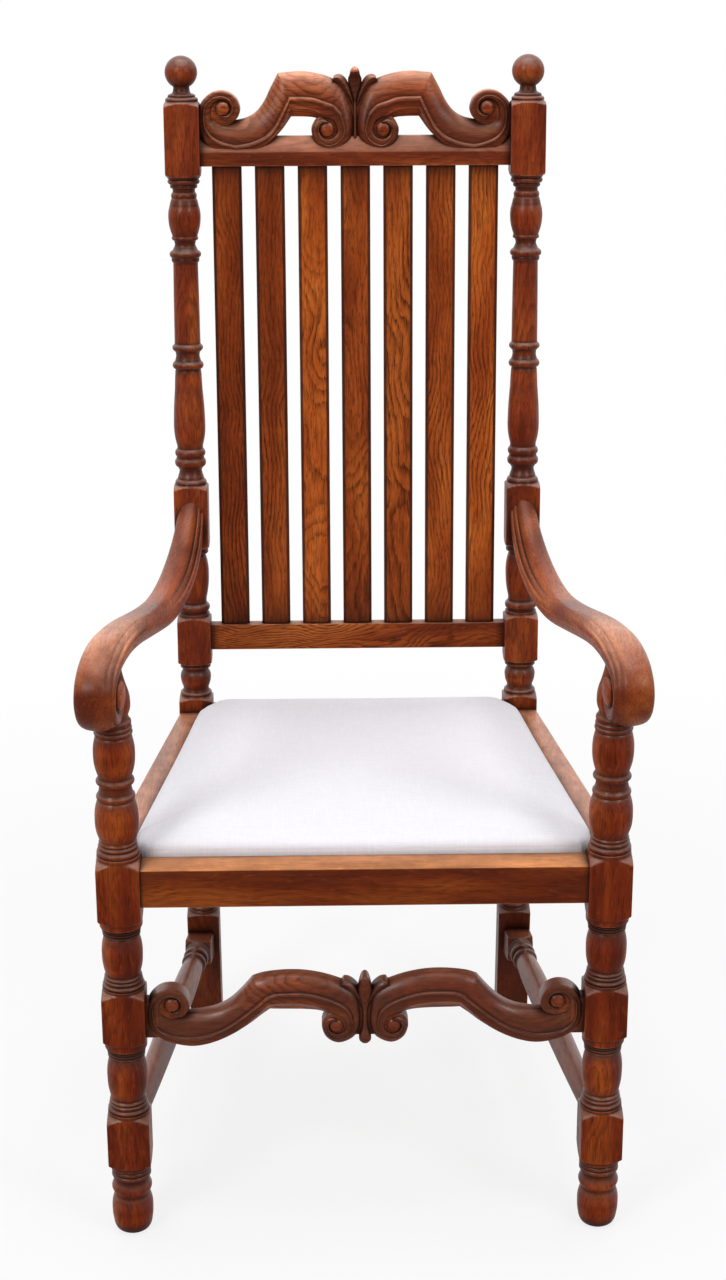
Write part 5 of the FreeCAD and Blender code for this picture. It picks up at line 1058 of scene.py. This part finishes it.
arm_rings = []
arm_shade_and_dark = []
arm_stations = zip(ARM_OVER, ARM_UNDER, ARM_WIDTHS, ARM_PLAIN, ARM_DARK)
for entry in smooth_line([over + under + tuple(rest) for over, under, *rest in arm_stations], 6):
    over, under, half, plain, dark = entry[0:2], entry[2:4], entry[4] / 2, entry[5], entry[6]
    loop = []
    for u, v in ARM_SECTION:
        if u < -0.1 and v > 0.40:
            v += (0.5 + 0.5 * math.sqrt(max(0.0, 1 - abs(u) ** 3.2)) - v) * plain
        loop.append(arm_place(u * half, *(under + (over - under) * v)))
    arm_rings.append(np.array(loop))
    # Painted shade in the inner grooves, or the darkening along the arm where that is darker.
    arm_shade_and_dark.append(np.maximum(ARM_GROOVE_SHADE * (1 - plain), dark))
arm_points, arm_faces, _ = skin(arm_rings)
arm_parts = [(arm_points, arm_faces, np.append(np.array(arm_shade_and_dark).ravel(), (0, 0)))]
BUTTON = [(-25, 0.01), (-24.6, 8), (-23.6, 12.5), (-22.2, 14.6), (-21, 15.2), (21, 15.2), (22.2, 14.6), (23.6, 12.5),
          (24.6, 8), (25, 0.01)]
button = [np.array([arm_place(out, -32 + reach * math.cos(a), 648 + reach * math.sin(a))
                    for a in np.linspace(0, 2 * math.pi, 40, endpoint=False)]) for out, reach in BUTTON]
arm_parts.append(skin(button))
arm_oak = oak("ArmOak", "deep", [(0.160, 0.0205, 0.0048), (0.310, 0.0500, 0.0090), (0.480, 0.1080, 0.0200)],
              rings=0.34, sway=0.10, rubbed=(0.72, 0.340, 0.205), worn=0.6, polish=0.42, gleam=0.16)
tree = arm_oak.node_tree
worn_top = next(node for node in tree.nodes if node.type == "GROUP" and node.node_tree == wax_wear_and_light)
# Where hands have worn the arm, its upper faces take the paler colour: partly wear, partly painted sheen.
handled_and_sheen = add(tree, "ShaderNodeAttribute", {"attribute_name": "handled_and_sheen"})
tree.links.new(handled_and_sheen.outputs["Fac"], worn_top.inputs["Worn Above"])
for side, parts, pith in (("right", arm_parts, (160, 0, 560)),
                          ("left", [mirrored(part) for part in arm_parts], (-170, 0, 545))):
    arm = make_piece("arm_%s_shaped" % side, parts, arm_oak, ["arm_" + side], 60, pith=pith)
    along = (points_of(arm.data)[:, 1] - LEG_LINE) / math.cos(ARM_SPLAY)
    worn_here = np.interp(along, [over[0] for over in ARM_OVER[16::-1]], ARM_HANDLED_AND_SHEEN[16::-1])
    mark(arm.data, "handled_and_sheen", worn_here)


# The drop-in seat's frame and the blocks under its corners: plain sawn beech, pale and fine in
# grain, with short dark flecks, never stained; the frame is tenoned, the blocks are glued.
beech, tree, shader = blank("SawnBeech")
spot = add(tree, "ShaderNodeMapping", Vector=add(tree, "ShaderNodeTexCoord").outputs["Object"],
           Rotation=(0, math.pi / 2, 0)).outputs[0]
warm = ramp(tree, drawn_out(tree, spot, 26, 5, 3.0).outputs["Fac"],
            [(0.34, (0.40, 0.235, 0.120)), (0.52, (0.50, 0.315, 0.170)), (0.70, (0.58, 0.385, 0.225))])
flecks = ranged(tree, drawn_out(tree, spot, 620, 7, 1.0).outputs["Fac"], 0.60, 0.68)
sawn = ranged(tree, drawn_out(tree, spot, 240, 0.12, 2.0).outputs["Fac"], 0.42, 0.66)
flecked = blended(tree, reckon(tree, "MULTIPLY", flecks, 0.5), warm, (0.27, 0.135, 0.062, 1))
surfaced(tree, shader, (0.5, 0.0004, sawn), Roughness=0.72, Specular_IOR_Level=0.25,
         Base_Color=blended(tree, reckon(tree, "MULTIPLY", sawn, 0.16), flecked, (0.33, 0.20, 0.105, 1)))
for name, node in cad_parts.items():
    if name.startswith(("seat_frame_", "corner_block_")):
        if not node.material_slots:
            node.data.materials.append(beech)
        for slot in node.material_slots:
            slot.material = beech


# The seat's webbing: six jute straps, three each way, woven over and under one another and
# stretched across the top of the beech frame. One strap is drawn and laid out in rows.
jute, tree, shader = blank("JuteStrap")
spot = add(tree, "ShaderNodeTexCoord").outputs["Object"]
ends = add(tree, "ShaderNodeTexWave", {"bands_direction": "X"}, Vector=spot, Scale=160.0, Distortion=1.5, Detail=1.0)
picks = add(tree, "ShaderNodeTexWave", {"bands_direction": "Y"}, Vector=spot, Scale=160.0, Distortion=1.5, Detail=1.0)
knot = reckon(tree, "MULTIPLY", ends.outputs["Fac"], picks.outputs["Fac"])
hairs = add(tree, "ShaderNodeTexNoise", Vector=spot, Scale=260.0, Detail=3.0)
tone = reckon(tree, "MULTIPLY_ADD", knot, 0.5, reckon(tree, "MULTIPLY", hairs.outputs["Fac"], 0.5))
surfaced(tree, shader, (0.7, 0.0006, tone), Roughness=0.95, Specular_IOR_Level=0.1,
         Base_Color=ramp(tree, tone, [(0.15, (0.150, 0.085, 0.036)), (0.45, (0.330, 0.215, 0.105)),
                                      (0.75, (0.460, 0.330, 0.185))]))

strap_tree = bpy.data.node_groups.new("StrapRow", "GeometryNodeTree")
group_sockets(strap_tree, [("Geometry", "NodeSocketGeometry", None), ("Count", "NodeSocketInt", 3),
                           ("Size", "NodeSocketVector", (0, 0, 0)), ("Start", "NodeSocketVector", (0, 0, 0)),
                           ("Offset", "NodeSocketVector", (0, 0, 0)), ("Longer", "NodeSocketVector", (0, 0, 0)),
                           ("Pitch", "NodeSocketFloat", 0.11), ("Lift", "NodeSocketFloat", 0.0005),
                           ("Finish", "NodeSocketMaterial", None)], [("Geometry", "NodeSocketGeometry")])
given = add(strap_tree, "NodeGroupInput")
strap = add(strap_tree, "GeometryNodeMeshCube", Size=given.outputs["Size"], Vertices_X=41, Vertices_Y=41)
row = add(strap_tree, "GeometryNodeMeshLine", Count=given.outputs["Count"], Start_Location=given.outputs["Start"],
          Offset=given.outputs["Offset"])
step = add(strap_tree, "GeometryNodeInputIndex")
longer = add(strap_tree, "ShaderNodeVectorMath", {"operation": "SCALE"}, _0=given.outputs["Longer"],
             Scale=step.outputs[0])
length = add(strap_tree, "ShaderNodeVectorMath", {"operation": "ADD"}, _0=longer.outputs[0], _1=(1, 1, 1))
laid = add(strap_tree, "GeometryNodeInstanceOnPoints", Points=row.outputs[0], Instance=strap.outputs[0],
           Scale=length.outputs[0])
real = add(strap_tree, "GeometryNodeRealizeInstances", Geometry=laid.outputs[0])
where = add(strap_tree, "ShaderNodeSeparateXYZ", Vector=add(strap_tree, "GeometryNodeInputPosition").outputs[0])
turn = reckon(strap_tree, "DIVIDE", math.pi, given.outputs["Pitch"])
waves = [reckon(strap_tree, "COSINE", reckon(strap_tree, "MULTIPLY", where.outputs[way], turn)) for way in "XY"]
rise = reckon(strap_tree, "MULTIPLY", reckon(strap_tree, "MULTIPLY", *waves), given.outputs["Lift"])
woven = add(strap_tree, "GeometryNodeSetPosition", Geometry=real.outputs[0],
            Offset=add(strap_tree, "ShaderNodeCombineXYZ", Z=rise).outputs[0])
dressed = add(strap_tree, "GeometryNodeSetMaterial", Geometry=woven.outputs[0], Material=given.outputs["Finish"])
answer = add(strap_tree, "NodeGroupOutput")
strap_tree.links.new(dressed.outputs[0], answer.inputs[0])

STRAP_WIDE, STRAP_THICK, STRAP_PITCH, STRAP_LEVEL = 50, 0.9, 110, 447.8
rows = []
for name, size, start, offset, longer, lift in (
    ("long_straps", (STRAP_WIDE, 388, STRAP_THICK), (-STRAP_PITCH, 2, STRAP_LEVEL), (STRAP_PITCH, 0, 0),
     (0, 0, 0), 0.5),
    ("cross_straps", (434, STRAP_WIDE, STRAP_THICK), (0, 2 - STRAP_PITCH, STRAP_LEVEL), (0, STRAP_PITCH, 0),
     (-0.078, 0, 0), -0.5),
):
    rows.append(grown(name, strap_tree, {
        "Size": Vector(size) * MM, "Start": Vector(start) * MM, "Offset": Vector(offset) * MM,
        "Longer": Vector(longer), "Pitch": STRAP_PITCH * MM, "Lift": lift * MM, "Finish": jute}))
shape = bmesh.new()
for straps in rows:
    shape.from_mesh(straps.data)
    bpy.data.objects.remove(straps)
webbing_mesh = bpy.data.meshes.new("jute_webbing")
shape.to_mesh(webbing_mesh)
shape.free()
webbing_mesh.materials.clear()
webbing_mesh.materials.append(jute)
webbing = stood("jute_webbing", webbing_mesh)
finish_piece(webbing, "drop_in_seat", ["seat_webbing"])


# The seat's cover: pale grey-white linen drawn over the wadding, round the frame's edges and
# 24 mm in under it. Pressure from the wadding raises the crown; the edge is held by the tacks.
linen, tree, shader = blank("Linen")
place = add(tree, "ShaderNodeTexCoord").outputs["Object"]
warp = add(tree, "ShaderNodeTexWave", {"bands_direction": "X"}, Vector=place, Scale=300.0, Distortion=1.4, Detail=1.0)
weft = add(tree, "ShaderNodeTexWave", {"bands_direction": "Y"}, Vector=place, Scale=300.0, Distortion=1.4, Detail=1.0)
weave = reckon(tree, "MAXIMUM", warp.outputs["Fac"], weft.outputs["Fac"])
slubs = [ranged(tree, add(tree, "ShaderNodeTexNoise", Scale=1.0, Detail=2.0, Vector=add(
    tree, "ShaderNodeMapping", Vector=place, Scale=scale).outputs[0]).outputs["Fac"], 0.50, 0.72)
    for scale in ((60, 1500, 1), (1500, 60, 1))]
slub = reckon(tree, "MAXIMUM", *slubs)
tint = ramp(tree, reckon(tree, "MULTIPLY_ADD", weave, 0.55, reckon(tree, "MULTIPLY", slub, 0.45)),
            [(0.1, (0.725, 0.715, 0.755)), (0.55, (0.800, 0.793, 0.835)), (0.9, (0.845, 0.840, 0.880))])
surfaced(tree, shader, (0.35, 0.0004, reckon(tree, "ADD", weave, reckon(tree, "MULTIPLY", slub, 0.6))),
         Base_Color=tint, Roughness=0.88, Sheen_Weight=0.2, Sheen_Roughness=0.5, Specular_IOR_Level=0.2)

SEAT_HALF, SEAT_FRONT, SEAT_REAR = 249.8, 17.2, 431.8
SEAT_PLAN = [(0, 0), (0.60, 0), (0.86, 0), (0.918, 0.002), (0.932, 0.009), (0.942, 0.018), (0.957, 0.024),
             (0.967, 0.038), (0.9715, 0.070), (0.970, 0.108), (0.897, 0.41),
             (0.825, 0.70), (0.779, 0.89), (0.757, 0.932), (0.715, 0.968), (0.665, 0.995), (0.55, 1), (0, 1)]
seat_outline = smooth_line([(x * SEAT_HALF, SEAT_FRONT + y * (SEAT_REAR - SEAT_FRONT)) for x, y in SEAT_PLAN], 6)
seat_outline = seat_outline + [np.array((-x, y)) for x, y in seat_outline[-2:0:-1]]
seat_middle = np.array((0, (SEAT_FRONT + SEAT_REAR) / 2))


def seat_ring(inset, height):
    """The seat's outline drawn in by an inset, at a height."""
    loop = []
    for x, y in seat_outline:
        toward = seat_middle - (x, y)
        point = np.array((x, y)) + toward / np.linalg.norm(toward) * inset
        loop.append((point[0], LEG_LINE + point[1], height))
    return np.array(loop)


# The crown as cut, before the wadding presses it up: (inset from the edge, height in front and at
# the sides, height at the back, where the edge stands fuller).
CROWN = [(0, 446, 446), (0.5, 449.4, 450.6), (1.5, 452.6, 454.5), (3.2, 455.2, 457.4), (6.0, 457.3, 459.6),
         (10, 459.0, 461.0), (16, 460.6, 462.1), (25, 461.9, 462.7), (38, 462.6, 463.0), (56, 462.9, 463.1),
         (80, 463.1, 463.1), (110, 463.1, 463.1), (145, 463.1, 463.1), (180, 463.1, 463.1)]
PRESSED_UP = 4.9
TACKED_BELOW = 449.0
PRESSING_FRAMES = 20
ABOVE_SEAT = 0.6


def crown_ring(inset, front, back):
    """The seat's outline drawn in by an inset, rising from one height in front to another behind."""
    loop = seat_ring(inset, front)
    share = np.clip((loop[:, 1] - LEG_LINE - SEAT_FRONT) / (SEAT_REAR - SEAT_FRONT) / 0.4 - 1.4, 0, 1)
    loop[:, 2] += (back - front) * share
    return loop


def pressed_crown():
    """How far the linen rises at any place, from a cloth simulation of the pad on its frame."""
    points, faces, _ = skin([seat_ring(0.5, 436.0)] + [crown_ring(*level) for level in CROWN])
    mesh = bpy.data.meshes.new("trial_pad")
    mesh.from_pydata([[float(c) * MM for c in point] for point in points], [], faces)
    trial = stood("trial_pad", mesh)
    remesh = trial.modifiers.new("Remesh", "REMESH")
    remesh.mode, remesh.voxel_size = "VOXEL", 0.006
    bpy.context.view_layer.update()
    even = settled(trial)
    trial.modifiers.clear()
    trial.data = even
    held = trial.vertex_groups.new(name="tacked")
    held.add([point.index for point in even.vertices if point.co.z < TACKED_BELOW * MM], 1.0, "REPLACE")
    cloth = trial.modifiers.new("Cloth", "CLOTH")
    cloth.settings.quality = 6
    cloth.settings.mass = 0.3
    cloth.settings.tension_stiffness = 30
    cloth.settings.use_pressure = True
    cloth.settings.uniform_pressure_force = 4
    cloth.settings.vertex_group_mass = "tacked"
    cloth.settings.effector_weights.gravity = 0
    for moment in range(1, PRESSING_FRAMES + 1):
        bpy.context.scene.frame_set(moment)
    swollen = settled(trial)
    bpy.context.scene.frame_set(1)
    start, surface = (BVHTree.FromPolygons([point.co for point in pad.vertices],
                                           [face.vertices for face in pad.polygons]) for pad in (even, swollen))
    bpy.data.objects.remove(trial)

    def rise(x, y):
        eye = Vector((x * MM, y * MM, ABOVE_SEAT))
        after, before = surface.ray_cast(eye, Vector((0, 0, -1)))[0], start.ray_cast(eye, Vector((0, 0, -1)))[0]
        return max(0.0, (after.z - before.z) / MM) if after and before else 0.0
    return rise


def soft_crown(rings):
    """The crown's rings with each point raised, the most in the middle, and never past the cap."""
    rise = pressed_crown()
    raised = []
    for (inset, *_), loop in zip(CROWN, rings):
        lift = np.array([rise(x, y) for x, y, _ in loop])
        lift += (lift.mean() - lift) * min(1.0, inset / 90)
        raised.append(PRESSED_UP * np.tanh(lift / PRESSED_UP) * min(1.0, inset / 30.0) ** 0.6)
    peak = max(loop.max() for loop in raised)
    for loop, lift in zip(rings, raised):
        for _ in range(6):
            lift = (np.roll(lift, 1) + lift + np.roll(lift, -1)) / 3
        loop[:, 2] += lift * PRESSED_UP / peak
    return rings


crown_rings = soft_crown([crown_ring(*level) for level in CROWN])
TURN_IN, UNDERSIDE = 24, 427.3
cover_rings = [seat_ring(TURN_IN, UNDERSIDE + 0.4), seat_ring(TURN_IN / 2, UNDERSIDE), seat_ring(3.0, UNDERSIDE),
               seat_ring(1.2, UNDERSIDE + 0.4), seat_ring(0.3, UNDERSIDE + 1.4), seat_ring(0.0, UNDERSIDE + 3),
               seat_ring(0.0, 437)] + crown_rings
points, faces, _ = skin(cover_rings)
shape = bmesh.new()
made = [shape.verts.new([float(c) * MM for c in point]) for point in points]
turned_under = len(points) - 2
for face in faces:
    if turned_under not in face:
        shape.faces.new([made[index] for index in face])
shape.verts.remove(made[turned_under])
cover_mesh = bpy.data.meshes.new("linen_cover")
shape.to_mesh(cover_mesh)
shape.free()
cover_mesh.shade_smooth()
cover = stood("linen_cover", cover_mesh)
cover_mesh.materials.append(linen)
wall = cover.modifiers.new("Cloth thickness", "SOLIDIFY")
wall.thickness, wall.offset = 0.0012, -1
finish_piece(cover, "drop_in_seat", ["seat_cover"])


# The seat's stuffing: cotton wadding laid over the webbing, hidden by the cover except from
# below between the straps, where its loose fibres show.
wadding, tree, shader = blank("CottonWadding")
spot = add(tree, "ShaderNodeTexCoord").outputs["Object"]
tufts = add(tree, "ShaderNodeTexNoise", Vector=spot, Scale=70.0, Detail=5.0, Roughness=0.7, Distortion=1.2)
surfaced(tree, shader, (0.9, 0.002, tufts.outputs["Fac"]), Roughness=1.0, Specular_IOR_Level=0.1,
         Base_Color=ramp(tree, tufts.outputs["Fac"], [(0.30, (0.50, 0.46, 0.38)), (0.50, (0.66, 0.62, 0.53)),
                                                      (0.72, (0.78, 0.75, 0.67))]))
filling = [seat_ring(9, 449.1), seat_ring(7.5, 449.5), seat_ring(6.8, 451)]
for (inset, *_), loop in zip(CROWN[4:], crown_rings[4:]):
    lowered = seat_ring(inset + 2.2, 0)
    lowered[:, 2] = loop[:, 2] - 1.7
    filling.append(lowered)
filling = [loop for loop in filling if loop[:, 2].min() > 449]
stuffing = make_piece("cotton_stuffing", [skin(filling)], wadding, ["seat_stuffing"], 60,
                      body="drop_in_seat")


# The cover's tacks: small blued steel heads, domed, about 25 mm apart all round the underside.
tack_steel, tree, shader = blank("BluedTack")
rust = add(tree, "ShaderNodeTexNoise", Scale=420.0, Detail=3.0,
           Vector=add(tree, "ShaderNodeTexCoord").outputs["Object"])
surfaced(tree, shader, None, Metallic=0.9, Roughness=ranged(tree, rust.outputs["Fac"], 0.45, 0.70, 0.30, 0.65),
         Base_Color=ramp(tree, rust.outputs["Fac"], [(0.40, (0.060, 0.066, 0.080)), (0.58, (0.110, 0.105, 0.105)),
                                                     (0.70, (0.150, 0.075, 0.040))]))

tack_tree = bpy.data.node_groups.new("TackLine", "GeometryNodeTree")
group_sockets(tack_tree, [("Geometry", "NodeSocketGeometry", None), ("Line", "NodeSocketObject", None),
                          ("Spacing", "NodeSocketFloat", 0.025), ("Radius", "NodeSocketFloat", 0.0045),
                          ("Dome", "NodeSocketFloat", 0.27), ("Finish", "NodeSocketMaterial", None)],
              [("Geometry", "NodeSocketGeometry")])
given = add(tack_tree, "NodeGroupInput")
drawn = add(tack_tree, "GeometryNodeObjectInfo", Object=given.outputs["Line"])
line = add(tack_tree, "GeometryNodeMeshToCurve", Mesh=drawn.outputs["Geometry"])
spaced = add(tack_tree, "GeometryNodeCurveToPoints", {"mode": "LENGTH"}, Curve=line.outputs[0],
             Length=given.outputs["Spacing"])
head = add(tack_tree, "GeometryNodeMeshUVSphere", Segments=10, Rings=6, Radius=given.outputs["Radius"])
flattened = add(tack_tree, "GeometryNodeTransform", Geometry=head.outputs[0],
                Scale=add(tack_tree, "ShaderNodeCombineXYZ", X=1.0, Y=1.0, Z=given.outputs["Dome"]).outputs[0])
laid = add(tack_tree, "GeometryNodeInstanceOnPoints", Points=spaced.outputs[0], Instance=flattened.outputs[0])
real = add(tack_tree, "GeometryNodeRealizeInstances", Geometry=laid.outputs[0])
rounded_off = add(tack_tree, "GeometryNodeSetShadeSmooth", Geometry=real.outputs[0])
dressed = add(tack_tree, "GeometryNodeSetMaterial", Geometry=rounded_off.outputs[0], Material=given.outputs["Finish"])
answer = add(tack_tree, "NodeGroupOutput")
tack_tree.links.new(dressed.outputs[0], answer.inputs[0])

TACK_INSET = 15
tack_points = seat_ring(TACK_INSET, UNDERSIDE - 0.05) * MM
tack_line = drawn_loop("tack_line", [tuple(point) for point in tack_points])
tacks = grown("cover_tacks", tack_tree, {"Line": tack_line, "Finish": tack_steel})
bpy.data.objects.remove(tack_line)
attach(tacks, "drop_in_seat")
